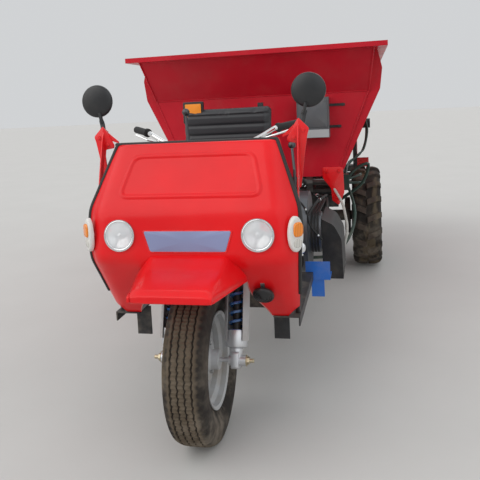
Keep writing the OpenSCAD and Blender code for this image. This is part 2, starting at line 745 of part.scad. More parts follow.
module leaf_springs() {
    base = rear_tyre_r + axle_r;
    color([0.06, 0.06, 0.065]) both_sides() translate([0, wheelbase, 0]) {
        for (i = [0 : leaf_count - 1]) {
            half = spring_half * (0.4 + 0.6 * i / (leaf_count - 1));
            a = asin(half / spring_arc);
            c = [0, base + i * leaf_t + spring_arc];
            side_plate(concat(arc(c, spring_arc, -90 - a, -90 + a, 16),
                arc(c, spring_arc - leaf_t - 0.01, -90 + a, -90 - a, 16)),
                rail_in + 2, rail_out - 2);
        }
        top = base + leaf_count * leaf_t;
        for (s = [-1, 1]) {
            x_cylinder(rail_in + 2, rail_out - 2, s * spring_half, top + 48, 14);
            for (x = [rail_in - 4, rail_out - 2])
                side_plate([[s * spring_half - 24, top + 26], [s * spring_half + 24, top + 26],
                    [s * spring_half + 34, rear_rail_top - rail_h],
                    [s * spring_half - 34, rear_rail_top - rail_h]], x, x + 6);
        }
        for (y = [-58, 46]) block([rail_in - 4, y, base - 60], [rail_in + 2, y + 12, top + 14]);
        for (y = [-58, 46]) block([rail_out - 2, y, base - 60], [rail_out + 4, y + 12, top + 14]);
        for (y = [-58, 46]) block([rail_in - 4, y, top], [rail_out + 4, y + 12, top + 14]);
    }
}

// Hopper body
function trough(g) = [[-hopper_floor_half + g, hopper_floor_z + g], [-hopper_fold_half + g, hopper_fold_z],
    [-hopper_top_half + g, hopper_top_z + 1], [hopper_top_half - g, hopper_top_z + 1],
        [hopper_fold_half - g, hopper_fold_z],
    [hopper_floor_half - g, hopper_floor_z + g]];
function hopper_side(g) = [[hopper_front + g, hopper_floor_z - 1], [hopper_front + g, hopper_fold_z],
    [hopper_front - front_lean + g, hopper_top_z], [hopper_front - front_lean + g, hopper_top_z + 2],
    [hopper_end - g, hopper_top_z + 2], [hopper_end - g, hopper_floor_z - 1]];
rim_h = 30;
rim_front = 26;
gate_half = 500;
gate_top = 1290;
gate_low = hopper_floor_z + 34;
loop_front = hopper_front + 100;
module hopper_solid(g) {
    intersection() {
        cross_plate(trough(g), hopper_front - front_lean - 10, hopper_end + 10);
        side_plate(hopper_side(g), -900, 900);
    }
}
rib_w = 50;
rib_d = 72;
rib_in = 8;
module hopper_rib(y) {
    cross_plate([[hopper_floor_half - 9, hopper_floor_z],
        [hopper_floor_half + rib_d * 0.66, hopper_floor_z + 40],
        [hopper_fold_half + rib_d, hopper_fold_z + 10], [hopper_top_half + rib_d * 0.66, hopper_fold_z + 140],
        [hopper_top_half + rib_d * 0.3, hopper_top_z - rim_h], [hopper_floor_half, hopper_top_z - rim_h],
        [hopper_floor_half, hopper_fold_z - 20]], y, y + rib_w);
}
// The hopper filled, with its ribs and rim
module hopper_blank() {
    intersection() {
        hopper_solid(0);
        level_zone(0, hopper_top_z);
    }
    both_sides() for (i = [0 : rib_count - 1])
        hopper_rib(hopper_front + rib_in + i * (hopper_len - rib_w - 2 * rib_in) / (rib_count - 1));
    block([-hopper_top_half - rim_w, hopper_front - front_lean - rim_front, hopper_top_z - rim_h],
        [hopper_top_half + rim_w, hopper_end + rim_front, hopper_top_z]);
}
// The zones that part its plates at the folds and corners, so that each is flat inside
module level_zone(low, high) { block([-900, 0, low], [900, rear_end, high]); }
module between_ends() { side_plate(hopper_side(hopper_t), -900, 900); }
module inner_trough() { cross_plate(trough(hopper_t), 0, rear_end + 10); }
module floor_zone(high) {
    block([hopper_t - hopper_floor_half, 0, 0],
        [hopper_floor_half - hopper_t, rear_end, hopper_floor_z + hopper_t + high]);
}
module headboard_zone() { block([-900, 0, hopper_fold_z], [900, hopper_front + 100, hopper_top_z + 1]); }
module hopper_floor() {
    color([0.78, 0.03, 0.06]) difference() {
        intersection() {
            hopper_blank();
            between_ends();
            floor_zone(0);
        }
        block([-hopper_floor_half + 30, hopper_front, hopper_floor_z - 10],
            [hopper_floor_half - 30, loop_front + 20, hopper_floor_z + 20]);
    }
}
module hopper_lower_sides() {
    color([0.78, 0.03, 0.06]) difference() {
        intersection() {
            hopper_blank();
            between_ends();
            level_zone(0, hopper_fold_z);
        }
        inner_trough();
        floor_zone(3);
    }
}
module hopper_upper_sides() {
    color([0.78, 0.03, 0.06]) difference() {
        intersection() {
            hopper_blank();
            between_ends();
            level_zone(hopper_fold_z, hopper_top_z);
        }
        inner_trough();
    }
}
module hopper_end_walls() {
    color([0.78, 0.03, 0.06]) difference() {
        hopper_blank();
        between_ends();
        headboard_zone();
        block([-gate_half + 20, hopper_end - 20, hopper_floor_z + 6],
            [gate_half - 20, hopper_end + 10, gate_top - 20]);
    }
}
module hopper_headboard() {
    color([0.78, 0.03, 0.06]) difference() {
        intersection() {
            hopper_blank();
            headboard_zone();
        }
        between_ends();
    }
}

// Bearers under the hopper and the posts behind it
bearer_h = 80;
rail_wall = 30;
post_x = 556;
post_w = 40;
module hopper_frame() {
    color([0.07, 0.07, 0.08]) {
        for (y = [hopper_front + 160, hopper_front + 560, hopper_end - 500, hopper_end - 100]) {
            block([-hopper_floor_half, y, rear_rail_top],
                [hopper_floor_half, y + 50, rear_rail_top + bearer_h]);
        }
        both_sides() {
            block([hopper_floor_half - rail_wall, hopper_front, rear_rail_top + bearer_h],
                [hopper_floor_half, hopper_end, hopper_floor_z]);
            block([post_x, hopper_end + 1, 620], [post_x + post_w, hopper_end + 41, hopper_fold_z]);
            block([hopper_floor_half - 1, hopper_end - 40, 660], [post_x + 1, hopper_end, 720]);
            block([hopper_floor_half - 1, hopper_end - 1, 660], [post_x + 1, hopper_end + 41, 720]);
            for (x = [gate_half + 24]) block([x, hopper_end, hopper_floor_z],
                [x + 34, hopper_end + 18, hopper_fold_z + 190]);
            for (x = [gate_half + 8]) block([x, hopper_end + 13, hopper_floor_z],
                [x + 20, hopper_end + 18, hopper_fold_z + 190]);
        }
        gate_barrel();
    }
}

// Chain and slat floor, one fixed loop: chains along it, slats across them
chain_t = 10;
chain_w = 40;
chain_x = 310;
loop_top = hopper_floor_z + hopper_t;
loop_low = 776;
loop_rear = hopper_end + 26;
slat_pitch = 190;
slat_w = 40;
slat_h = 20;
slat_half = 452;
loop_mid = (loop_top + loop_low) / 2;
loop_r = (loop_top - loop_low) / 2;
bend_sides = 8;
function loop_arc(y, from, r) = [for (i = [0 : bend_sides]) [y + r * cos(from + i * 180 / bend_sides),
    loop_mid + r * sin(from + i * 180 / bend_sides)]];
module loop_outline(grow) {
    polygon(concat(loop_arc(loop_front, 90, loop_r + grow), loop_arc(loop_rear, -90, loop_r + grow)));
}
// Shafts at the ends of the floor chain, with their toothed sprockets
sprocket_teeth = 12;
tooth_h = 8;
sprocket_r = loop_r * cos(90 / bend_sides) - seat_gap;
module conveyor_shaft(y) {
    x_cylinder(rail_wall - hopper_floor_half, hopper_floor_half - rail_wall, y, loop_mid, 22);
    for (x = [-chain_x, chain_x]) translate([x - 9, y, loop_mid]) rotate([90, 0, 90]) linear_extrude(18)
        polygon([for (i = [0 : sprocket_teeth - 1], k = [[-9, 0], [-4, 1], [4, 1], [9, 0]])
            (sprocket_r - tooth_h * (1 - k[1])) * [cos(i * 360 / sprocket_teeth + k[0]),
                sin(i * 360 / sprocket_teeth + k[0])]]);
}
module conveyor_shafts() {
    color([0.2, 0.2, 0.21]) for (y = [loop_front, loop_rear]) conveyor_shaft(y);
}
module floor_conveyor() {
    color([0.12, 0.11, 0.11]) {
        for (x = [-chain_x, chain_x]) translate([x - chain_w / 2, 0, 0]) rotate([90, 0, 90])
            linear_extrude(chain_w)
            difference() {
                loop_outline(chain_t);
                loop_outline(0);
            }
        for (y = [loop_front + 40 : slat_pitch : loop_rear - 80]) {
            block([-slat_half, y, loop_top], [slat_half, y + slat_w, loop_top + slat_h]);
            block([-slat_half, y, loop_low - slat_h], [slat_half, y + slat_w, loop_low]);
        }
    }
}

// Sliding gate on the rear wall, with the rod of its lift cylinder
gate_y = hopper_end + 4;
guide_lip_y = hopper_end + 13;
cylinder_y = hopper_end + 50;
rod_r = 12;
lug_z = 1000;
barrel_foot = lug_z + gate_lift + 40;
module rear_gate() {
    color([0.78, 0.03, 0.06]) {
        block([-gate_half - 20, gate_y, gate_low], [gate_half + 20, gate_y + 5, gate_top]);
        both_sides() block([gate_half + 12, hopper_end + 1, gate_low],
            [gate_half + 20, guide_lip_y - 1, gate_top]);
        for (x = [-300, 300]) block([x - 20, gate_y + 4, gate_low + 20], [x + 20, gate_y + 18, gate_top]);
        block([-gate_half + 10, gate_y + 4, gate_top - 40], [gate_half - 10, gate_y + 18, gate_top]);
        block([-20, gate_y + 4, lug_z - 30], [20, cylinder_y + 14, lug_z]);
        translate([0, cylinder_y, lug_z - 1]) cylinder(h = barrel_foot + 31 - lug_z, r = rod_r);
    }
}
module gate_barrel() {
    barrel_r = 22;
    difference() {
        translate([0, cylinder_y, barrel_foot]) cylinder(h = 360, r = barrel_r);
        translate([0, cylinder_y, barrel_foot - 1]) cylinder(h = 345, r = rod_r + run_gap);
    }
    block([-16, hopper_end, 1620], [16, cylinder_y - barrel_r + 2, 1665]);
}

cheek_in = 590;
beater_half = cheek_in - 24;
beater_shaft_r = 28;
hood_end = beater_y + 290;
hood_z = beater_z + 60;
module beater_housing() {
    color([0.78, 0.03, 0.06]) difference() {
        union() {
            both_sides() {
                side_plate([[hopper_end + 41, 760], [hopper_end + 41, hopper_fold_z],
                    [beater_y + 160, hopper_fold_z],
                    [hood_end, hood_z], [hood_end, hood_z - 200], [beater_y + 120, 760]], cheek_in,
                    cheek_in + 6);
                x_cylinder(cheek_in - 10, cheek_in + 30, beater_y, beater_z, 60);
            }
            side_plate([[hopper_end + 41, hopper_fold_z - 6], [hopper_end + 41, hopper_fold_z],
                [beater_y + 160, hopper_fold_z],
                [hood_end, hood_z], [hood_end - 6, hood_z - 2], [beater_y + 156, hopper_fold_z - 6]],
                -cheek_in - 1, cheek_in + 1);
        }
        x_cylinder(-700, 700, beater_y, beater_z, beater_shaft_r + run_gap);
        block([-50, hopper_end, hopper_fold_z - 20], [50, cylinder_y + 45, hopper_fold_z + 20]);
    }
}

module beater() {
    color([0.3, 0.3, 0.31]) translate([0, beater_y, beater_z]) {
        x_cylinder(-cheek_in - 34, cheek_in + 70, 0, 0, beater_shaft_r);
        x_cylinder(-beater_half, beater_half, 0, 0, 64);
        for (i = [0 : 17]) rotate([i * 60 + 10, 0, 0])
            block([-beater_half + 20 + i * 62, -5, 50], [-beater_half + 66 + i * 62, 5, beater_r - 1]);
    }
}

// Hydraulic motor on the left end of the beater's shaft
motor_r = 48;
module beater_motor() {
    color([0.2, 0.21, 0.22]) difference() {
        union() {
            x_cylinder(cheek_in + 30, cheek_in + 42, beater_y, beater_z, 58);
            x_cylinder(cheek_in + 42, cheek_in + 140, beater_y, beater_z, motor_r);
            for (z = [-26, 26]) translate([cheek_in + 100, beater_y - 30, beater_z + z]) rotate([90, 0, 0])
                cylinder(h = 40, r = 14);
        }
        x_cylinder(cheek_in, cheek_in + 80, beater_y, beater_z, beater_shaft_r + run_gap);
    }
}

// Frame that carries the discs
module spreader_frame() {
    color([0.07, 0.07, 0.08]) difference() {
        union() {
            both_sides() {
                block([rail_in, rail_end, 480], [rail_out, disc_y + 40, 540]);
                block([rail_in, rail_end, 480], [rail_out, rail_end + 30, rear_rail_top]);
                translate([disc_x, disc_y, 470]) cylinder(h = 120, r = 55);
                tube(curve([[disc_x + 40, disc_y, 510], [disc_x + disc_r + 20, disc_y + 60, 510],
                    [disc_x + disc_r - 40, guard_y, 560]], 4), guard_r);
            }
            block([-disc_x, disc_y - 40, 480], [disc_x, disc_y + 40, 540]);
            block([-90, disc_y - 90, 460], [90, disc_y + 90, 570]);
            rod([-disc_x - disc_r + 40, guard_y, 560], [disc_x + disc_r - 40, guard_y, 560], guard_r);
        }
        both_sides() translate([disc_x, disc_y, 400]) cylinder(h = 300, r = 20 + run_gap);
    }
}

module spinner() {
    translate([disc_x, disc_y, 0]) {
        translate([0, 0, 480]) cylinder(h = disc_z - 480, r = 20);
        translate([0, 0, disc_z]) cylinder(h = 6, r = disc_r);
        translate([0, 0, disc_z]) cylinder(h = 40, r = 40);
        for (i = [0 : vane_count - 1]) rotate(i * 360 / vane_count)
            block([30, -3, disc_z + 5], [disc_r - 4, 3, disc_z + 56]);
    }
}
module spinner_left() { color([0.5, 0.5, 0.5]) spinner(); }
module spinner_right() { color([0.5, 0.5, 0.5]) mirror([1, 0, 0]) spinner(); }

// Blue folded step by the driver's left foot
step_y = 730;
module side_step() {
    color([0.1, 0.35, 0.75]) {
        block([362, step_y, 465], [486, step_y + 5, 560]);
        block([380, step_y + 4, 465], [486, step_y + 150, 470]);
        block([390, step_y + 5, 376], [455, step_y + 10, 466]);
    }
}

// Hoses along their fixed route
// Route table of the hoses: points, radius, steps between points
hose_routes = [
    [[[560, 1900, 850], [612, 1900, 905], [694, 1905, 930], [650, 1940, 800], [530, 1990, 700],
        [450, 2080, 636], [380, 2200, 616], [330, 2300, 606], [rail_out + 15, 2500, 606],
        [rail_out + 15, rail_end - 20, 606], [rail_out - 20, rail_end + 110, 586],
        [120, rail_end + 160, 540], [60, disc_y - 130, 515], [60, disc_y - 90 - seat_gap, 515]], 11, 4],
    [[[560, 1890, 770], [600, 1700, 640], [560, 1560, 500], [440, 1500, 400], [220, 1500, 388],
        [110, 1560, 392], [90, 1610, 410], [90, 1610, box_foot - seat_gap]], 10, 4],
    [[[560, 1930, 830], [640, 2020, 850], [560, 2300, 800], [524, 2600, 780], [520, 3560, 780],
        [590, 3760, 810], [640, 3900, 850], [cheek_in + 90, 3980, 960],
        [cheek_in + 100, beater_y - 120, beater_z - 26],
        [cheek_in + 100, beater_y - 70 - seat_gap, beater_z - 26]], 9, 4],
    [[[560, 1950, 800], [660, 2040, 790], [570, 2300, 756], [516, 2600, 748], [512, 3560, 748],
        [610, 3760, 836], [664, 3890, 880], [cheek_in + 112, 3970, 1040],
        [cheek_in + 100, beater_y - 120, beater_z + 26],
        [cheek_in + 100, beater_y - 70 - seat_gap, beater_z + 26]], 9, 4]];
module hydraulic_hoses() {
    color([0.03, 0.1, 0.07]) {
        block([hopper_floor_half, 1870, 760], [hopper_floor_half + 74, 1960, 866]);
        for (h = hose_routes) {
            last = len(h[0]) - 1;
            tube(concat(curve([for (i = [0 : last - 1]) h[0][i]], h[2]), [h[0][last]]), h[1], 8);
        }
    }
}

module rear_lamps() {
    color([0.7, 0.05, 0.03]) both_sides() block([post_x + post_w, hopper_end + 11, 700],
        [post_x + post_w + 110, hopper_end + 41, 790]);
}

// Steered front end
slider_len = 110;
leg_top = upper_yoke_z + yoke_t + 10;
front_hub_half = 70;
front_axle_r = 9;
module fork() {
    color([0.08, 0.08, 0.09]) steered() {
        for (z = [lower_yoke_z - 10, upper_yoke_z])
            translate([0, 0, z]) linear_extrude(yoke_t) {
                translate([-leg_x, -leg_offset - 32]) square([2 * leg_x, 64]);
                for (s = [-1, 1]) translate([s * leg_x, -leg_offset]) circle(r = 34);
                circle(r = 36);
            }
        translate([0, 0, lower_yoke_z - 1]) cylinder(h = upper_yoke_z - lower_yoke_z + 2, r = stem_r);
        for (s = [-1, 1]) translate([s * leg_x, -leg_offset, 0]) {
            translate([0, 0, slider_len]) cylinder(h = leg_top - slider_len, r = leg_r);
            translate([0, 0, slider_len + coil_h + 24])
                cylinder(h = lower_yoke_z - slider_len - coil_h - 26, r = 31);
        }
    }
}

module fork_sliders() {
    color([0.75, 0.76, 0.78]) {
        both_sides() steered() translate([leg_x, -leg_offset, 0]) {
            cylinder(h = slider_len, r = 27);
            translate([-16, -34, -34]) cube([32, 68, 70]);
            difference() {
                translate([0, 0, slider_len - 30]) cylinder(h = 180, r = 46);
                translate([0, 0, slider_len]) cylinder(h = 200, r = 42);
                translate([-60, -4, slider_len]) cube([120, 80, 200]);
                translate([0, 0, slider_len - 31]) cylinder(h = 8, r = 60);
            }
        }
        x_cylinder(-leg_x, leg_x, 0, front_tyre_r, front_axle_r);
        both_sides() x_cylinder(leg_x - 30, leg_x + 44, 0, front_tyre_r, 22);
    }
}

coil_r = 29;
coil_wire_r = 6;
coil_count = 7;
coil_h = 270;
module fork_springs() {
    foot = slider_len + 12;
    wire = [for (k = [0 : 14 * coil_count]) let (a = k * 360 / 14)
        [coil_r * cos(a), coil_r * sin(a), foot + 6.5 + (coil_h - 13) * k / (14 * coil_count)]];
    color([0.1, 0.2, 0.5]) both_sides() steered() translate([leg_x, -leg_offset, 0]) {
        tube(wire, coil_wire_r, 6);
        for (z = [foot - 11, foot + coil_h - 1]) translate([0, 0, z]) difference() {
            cylinder(h = 12, r = coil_r + 7);
            translate([0, 0, -1]) cylinder(h = 14, r = leg_r + seat_gap);
        }
    }
}

// Handlebar on risers above the upper yoke
riser_x = 60;
riser_h = 60;
riser_foot = upper_yoke_z + yoke_t;
bar_y = steer_foot[1] + (riser_foot + riser_h) * sin(rake) - (leg_offset - 10) * cos(rake);
bar_foot_z = steer_foot[2] + (riser_foot + riser_h - 8) * cos(rake) + (leg_offset - 10) * sin(rake);
grip_from = [300, bar_y + 70, bar_z + 60];
grip_to = [bar_half, bar_y + 150, bar_z + 75];
module handlebar() {
    color([0.5, 0.5, 0.52]) {
        both_sides() {
            steered() translate([riser_x, 10 - leg_offset, riser_foot]) cylinder(h = riser_h, r = 14);
            tube(concat(curve([[riser_x, bar_y, bar_foot_z], [90, bar_y + 20, bar_z],
                [190, bar_y + 30, bar_z + 8], grip_from - 16 * unit(grip_to - grip_from)], 4),
                [grip_from]), 11);
            tube([[236, bar_y + 38, bar_z + 16], [290, bar_y + 30, bar_z + 30],
                [bar_half - 20, bar_y + 84, bar_z + 52]], 5, 8);
        }
        x_cylinder(-92, 92, bar_y + 20, bar_z, 11);
    }
}

module hand_grips() {
    v = unit(grip_to - grip_from);
    color([0.03, 0.03, 0.03]) both_sides() {
        rod(grip_from + 0.5 * v, grip_from + 14 * v, 20);
        rod(grip_from + 13 * v, grip_to, 16);
    }
}

// Tyre and rim profiles, turned about X
module turned(points) { rotate([0, 90, 0]) rotate_extrude() polygon(points); }
// How far a tyre's heel stands in from the rim's flange
bead_tuck = 3;
function half_tyre(r, w, rim) = [[rim, bead_tuck - w * 0.36], [(r + rim) / 2 - 14, -w * 0.515],
    [(r + rim) / 2 + 22, -w * 0.52], [r - w * 0.07, -w * 0.45], [r, -w * 0.27]];
function mirrored(p) = concat(p, [for (i = [len(p) - 1 : -1 : 0]) [p[i][0], -p[i][1]]]);
// A tyre's section carried round in flat sides that touch the true circles
tyre_sides = 36;
module tyre_ring(points) {
    n = len(points);
    grow = 1 / cos(180 / tyre_sides);
    step = 360 / tyre_sides;
    polyhedron(points = [for (i = [0 : tyre_sides - 1], p = points)
            [p[1], grow * p[0] * sin((i + 0.5) * step), grow * p[0] * cos((i + 0.5) * step)]],
        faces = [for (i = [0 : tyre_sides - 1], j = [0 : n - 1])
            let (k = (i + 1) % tyre_sides, m = (j + 1) % n)
            [i * n + j, k * n + j, k * n + m, i * n + m]]);
}
module front_tyre() {
    color([0.05, 0.045, 0.04]) translate([0, 0, front_tyre_r]) tyre_ring(mirrored(half_tyre(front_tyre_r,
        front_tyre_w, front_rim_r)));
}
// Rim section from flange to flange, with its well
function rim_section(r, w, well) = [[r + 9, -w - 8], [r + 9, -w - 3], [r, -w], [r, -w * 0.62],
    [r - well, -w * 0.42],
    [r - well, w * 0.42], [r, w * 0.62], [r, w], [r + 9, w + 3], [r + 9, w + 8], [r - 6, w + 3],
        [r - 6, w * 0.66],
    [r - well - 6, w * 0.46], [r - well - 6, -w * 0.46], [r - 6, -w * 0.66], [r - 6, -w - 3]];
module front_rim() {
    r = front_rim_r - seat_gap;
    w = front_tyre_w * 0.36;
    color([0.75, 0.76, 0.78]) translate([0, 0, front_tyre_r]) difference() {
        union() {
            turned(rim_section(r, w, 18));
            turned([[34, 20], [84, 26], [110, 8], [r - 22, 4], [r - 22, -4], [106, 0], [80, 18], [34, 12]]);
            turned([[20, -front_hub_half], [44, -front_hub_half], [52, -30], [52, 16], [40, 40],
                [40, front_hub_half],
                [20, front_hub_half]]);
            turned([[40, -34], [86, -34], [86, -8], [40, -8]]);
            x_cylinder(-front_hub_half, front_hub_half, 0, 0, 24);
        }
        for (i = [0 : 7]) rotate([i * 45, 0, 0]) x_cylinder(-2, 40, 0, 132, 15);
        x_cylinder(-200, 200, 0, 0, front_axle_r + run_gap);
    }
}

lug_h = 22;
lug_count = 18;
lug_span = 33;
module rear_tyre() {
    carcass = rear_tyre_r - lug_h;
    tyre_ring(mirrored(half_tyre(carcass, rear_tyre_w, rear_rim_r)));
    top = sqrt(rear_tyre_r * rear_tyre_r - lug_span * lug_span);
    for (i = [0 : lug_count - 1], s = [-1, 1])
        rotate([(i + (s > 0 ? 0.5 : 0)) * 360 / lug_count, 0, 0])
        translate([0, 0, carcass - 20]) linear_extrude(top - carcass + 20)
        polygon([[s * 2, -lug_span], [s * rear_tyre_w * 0.48, lug_span - 28],
            [s * rear_tyre_w * 0.48, lug_span], [s * 2, 28 - lug_span]]);
}
module rear_rim() {
    r = rear_rim_r - seat_gap;
    w = rear_tyre_w * 0.36;
    difference() {
        union() {
            turned(rim_section(r, w, 22));
            turned([[30, 46], [96, 46], [118, 24], [150, 34], [r - 26, 12], [r - 26, 4], [146, 26],
                [118, 16], [92, 38], [30, 38]]);
            x_cylinder(-rear_tyre_w / 2 - 14, 60, 0, 0, 62);
            x_cylinder(60, 78, 0, 0, 44);
            for (i = [0 : 5]) rotate([i * 60, 0, 0]) x_cylinder(44, 60, 0, 80, 9);
        }
        for (i = [0 : 7]) rotate([i * 45, 0, 0]) x_cylinder(0, 60, 0, 162, 16);
        x_cylinder(-300, rear_tyre_w, 0, 0, stub_r + run_gap);
    }
}
module rear_tyre_left() { color([0.05, 0.045, 0.04])
    translate([rear_wheel_x, wheelbase, rear_tyre_r]) rear_tyre(); }
module rear_rim_left() { color([0.7, 0.7, 0.72])
    translate([rear_wheel_x, wheelbase, rear_tyre_r]) rear_rim(); }
module rear_tyre_right() { mirror([1, 0, 0]) rear_tyre_left(); }
module rear_rim_right() { mirror([1, 0, 0]) rear_rim_left(); }

placed() chassis_frame();
placed() footboards();
placed() fairing();
placed() fairing_hoop();
placed() headlight_bowls();
placed() headlight_lenses();
placed() turn_signals();
placed() horn();
placed() mirror_brackets();
placed() mirrors();
placed() mirror_glasses();
placed() seat_frame();
placed() seat_cushion();
placed() seat_back();
placed() control_levers();
placed() control_box();
placed() engine_block();
placed() engine_covers();
placed() air_cleaner();
placed() flywheel();
placed() drive_belts();
placed() fuel_tank();
placed() radiator();
placed() exhaust();
placed() gearbox();
placed() rear_axle();
placed() leaf_springs();
placed() hopper_floor();
placed() hopper_lower_sides();
placed() hopper_upper_sides();
placed() hopper_end_walls();
placed() hopper_headboard();
placed() hopper_frame();
placed() conveyor_shafts();
placed() floor_conveyor();
placed() rear_gate();
placed() beater_housing();
placed() beater();
placed() beater_motor();
placed() spreader_frame();
placed() spinner_left();
placed() spinner_right();
placed() side_step();
placed() hydraulic_hoses();
placed() rear_lamps();
placed() fork();
placed() fork_sliders();
placed() fork_springs();
placed() handlebar();
placed() hand_grips();
placed() front_tyre();
placed() front_rim();
placed() rear_tyre_left();
placed() rear_rim_left();
placed() rear_tyre_right();
placed() rear_rim_right();
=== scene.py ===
import math

import bmesh
import bpy
import numpy as np
from bpy.props import FloatProperty, FloatVectorProperty, IntProperty, PointerProperty
from mathutils import Matrix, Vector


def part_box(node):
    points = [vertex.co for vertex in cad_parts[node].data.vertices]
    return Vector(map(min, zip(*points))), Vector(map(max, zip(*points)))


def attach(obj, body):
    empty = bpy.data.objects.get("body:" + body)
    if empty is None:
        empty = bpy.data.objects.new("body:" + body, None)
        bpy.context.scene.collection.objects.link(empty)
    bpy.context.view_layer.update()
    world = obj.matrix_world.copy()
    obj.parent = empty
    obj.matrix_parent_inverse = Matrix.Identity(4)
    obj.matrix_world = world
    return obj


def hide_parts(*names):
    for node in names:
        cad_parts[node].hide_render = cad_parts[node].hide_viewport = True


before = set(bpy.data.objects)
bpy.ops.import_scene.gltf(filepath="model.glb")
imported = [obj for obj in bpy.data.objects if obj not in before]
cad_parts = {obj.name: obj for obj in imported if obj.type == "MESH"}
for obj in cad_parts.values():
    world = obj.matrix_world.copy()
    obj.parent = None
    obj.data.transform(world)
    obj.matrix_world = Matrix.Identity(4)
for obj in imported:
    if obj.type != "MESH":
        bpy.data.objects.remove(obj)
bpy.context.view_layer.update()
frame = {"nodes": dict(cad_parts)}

bl_info = {
    "name": "Three-wheeled spreader dressing",
    "version": (1, 0, 0),
    "blender": (4, 5, 0),
    "location": "View3D > Sidebar > Spreader",
    "description": "Moulded skin, tyres, seat, lamps and finishes for the three-wheeled spreader",
    "category": "Object",
}

# Lines that everything is placed from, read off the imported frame
TYRE_LOW, TYRE_HIGH = (np.array(corner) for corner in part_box("front_tyre"))
AXLE_Y = (TYRE_LOW[1] + TYRE_HIGH[1]) / 2
FRONT_R = (TYRE_HIGH[2] - TYRE_LOW[2]) / 2

# Radius at which a turned profile meets its own axis; piece() merges the tiny ring there into a pole
POLE = 0.0001
FRONT_RIM_R, FRONT_TYRE_W = 0.188, 0.165
REAR_RIM_R, REAR_TYRE_W = 0.214, 0.215
CHAIN_X = 0.310
HORN_AT = (0.272, 0.640)
AXLE_TIP = 0.182


def lengths(name, text, default):
    """A size in metres that the panel shows."""
    return FloatProperty(name=name, description=text, default=default, subtype="DISTANCE", unit="LENGTH")


def paint(name, text, default):
    """A colour that the panel shows."""
    return FloatVectorProperty(name=name, description=text, default=default, subtype="COLOR", size=3, min=0,
                               max=1)


class SpreaderSizes(bpy.types.PropertyGroup):
    """Sizes of the dressed pieces."""
    skin: lengths("Skin", "Wall of the moulded fairing and nose", 0.004)
    crease: lengths("Crease", "Length over which a crease of the fairing bends", 0.034)
    corner: lengths("Corner", "Length over which the fairing's upright corners bend", 0.042)
    bead_height: lengths("Bead height", "Height of the raised bead on the upper panel", 0.0055)
    bead_width: lengths("Bead width", "Width of that bead over both its slopes", 0.03)
    trim: lengths("Edge trim", "Radius of the rubber edging on the fairing", 0.008)
    lamp: lengths("Lamp", "Headlamp radius over its rim", 0.063)
    groove: lengths("Groove", "Depth of the front tyre's grooves", 0.008)
    lug: lengths("Lug", "Height of the rear tyres' lugs", 0.022)
    lugs: IntProperty(name="Lugs", description="Lugs on each side of a rear tyre", default=18, min=8, max=30)
    puff: lengths("Puff", "How far the seat's padding may swell", 0.012)
    pleats: IntProperty(name="Pleats", description="Sewn channels across the backrest", default=6, min=1,
                        max=12)


class SpreaderColours(bpy.types.PropertyGroup):
    """Colours of the paint, the trim and the lamps."""
    fairing: paint("Fairing", "Bright red of the fairing, nose and brackets", (0.78, 0.006, 0.01))
    hopper: paint("Hopper", "Crimson of the hopper and the gate", (0.56, 0.008, 0.022))
    frame: paint("Frame", "Black of the frame and bearers", (0.018, 0.018, 0.02))
    plate: paint("Plate", "Blue-grey of the blank plate on the lamp band", (0.25, 0.3, 0.5))
    step: paint("Step", "Blue of the side step", (0.02, 0.16, 0.62))
    amber: paint("Amber", "Amber of the turn signals", (0.9, 0.25, 0.01))
    orange: paint("Orange", "Orange of the blank tag", (0.9, 0.28, 0.01))
    springs: paint("Springs", "Blue of the fork springs", (0.03, 0.12, 0.34))
    tyre: paint("Tyre", "Brown-black of the tyres", (0.026, 0.021, 0.018))


def sizes():
    """The sizes that the panel shows, as they stand."""
    return bpy.context.scene.spreader_sizes


def colours():
    """The colours that the panel shows, as they stand."""
    return bpy.context.scene.spreader_colours


# Surfaces

def place(points):
    """Points measured from the front axle, on the floor, moved into the frame."""
    return np.asarray(points, float) + [0.0, AXLE_Y, 0.0]


def unit(v):
    """Vectors of length one along the last axis."""
    v = np.asarray(v, float)
    return v / np.maximum(np.linalg.norm(v, axis=-1, keepdims=True), 1e-12)


def soften(net, bends, steps=5, closed=False):
    """Rounds a net's inner rows: row b becomes the quadratic arc from b + bend * unit(a - b), past b, to
    b + bend * unit(c - b), where a and c are its neighbours; a closed net rounds every row."""
    net = np.asarray(net, float)
    bends = np.broadcast_to(bends, len(net))
    t = np.linspace(0, 1, steps + 1).reshape((-1,) + (1,) * (net.ndim - 1))
    rows = []
    for i, b in enumerate(net):
        if not closed and i in (0, len(net) - 1):
            rows.append(b[None])
            continue
        a, c = net[i - 1], net[(i + 1) % len(net)]
        start, end = b + bends[i] * unit(a - b), b + bends[i] * unit(c - b)
        rows.append((1 - t) ** 2 * start + 2 * t * (1 - t) * b + t ** 2 * end)
    return np.concatenate(rows)


def spread(net, step, closed=False):
    """Splits a net's spans evenly so that none is longer than step."""
    rows = list(net) + ([net[0]] if closed else [])
    out = []
    for a, b in zip(rows[:-1], rows[1:]):
        count = max(1, int(math.ceil(np.linalg.norm(b - a, axis=-1).max() / step)))
        t = (np.arange(count) / count).reshape((-1,) + (1,) * a.ndim)
        out.append(a + t * (b - a))
    return np.concatenate(out + ([] if closed else [rows[-1][None]]))


def grid_normals(grid):
    """Unit normals of an open grid, from the cross product of its two gradients."""
    return unit(np.cross(np.gradient(grid, axis=0), np.gradient(grid, axis=1)))


def quads(rows, columns, wrap_rows=False, wrap_columns=False):
    """Corner numbers of a grid's faces, row by row."""
    i = np.arange(rows if wrap_rows else rows - 1)[:, None]
    j = np.arange(columns if wrap_columns else columns - 1)[None, :]
    a, b = i * columns + j, i * columns + (j + 1) % columns
    down = (i + 1) % rows * columns
    c, d = down + (j + 1) % columns, down + j + 0 * a
    return np.stack([a, b, c, d], axis=-1).reshape(-1, 4)


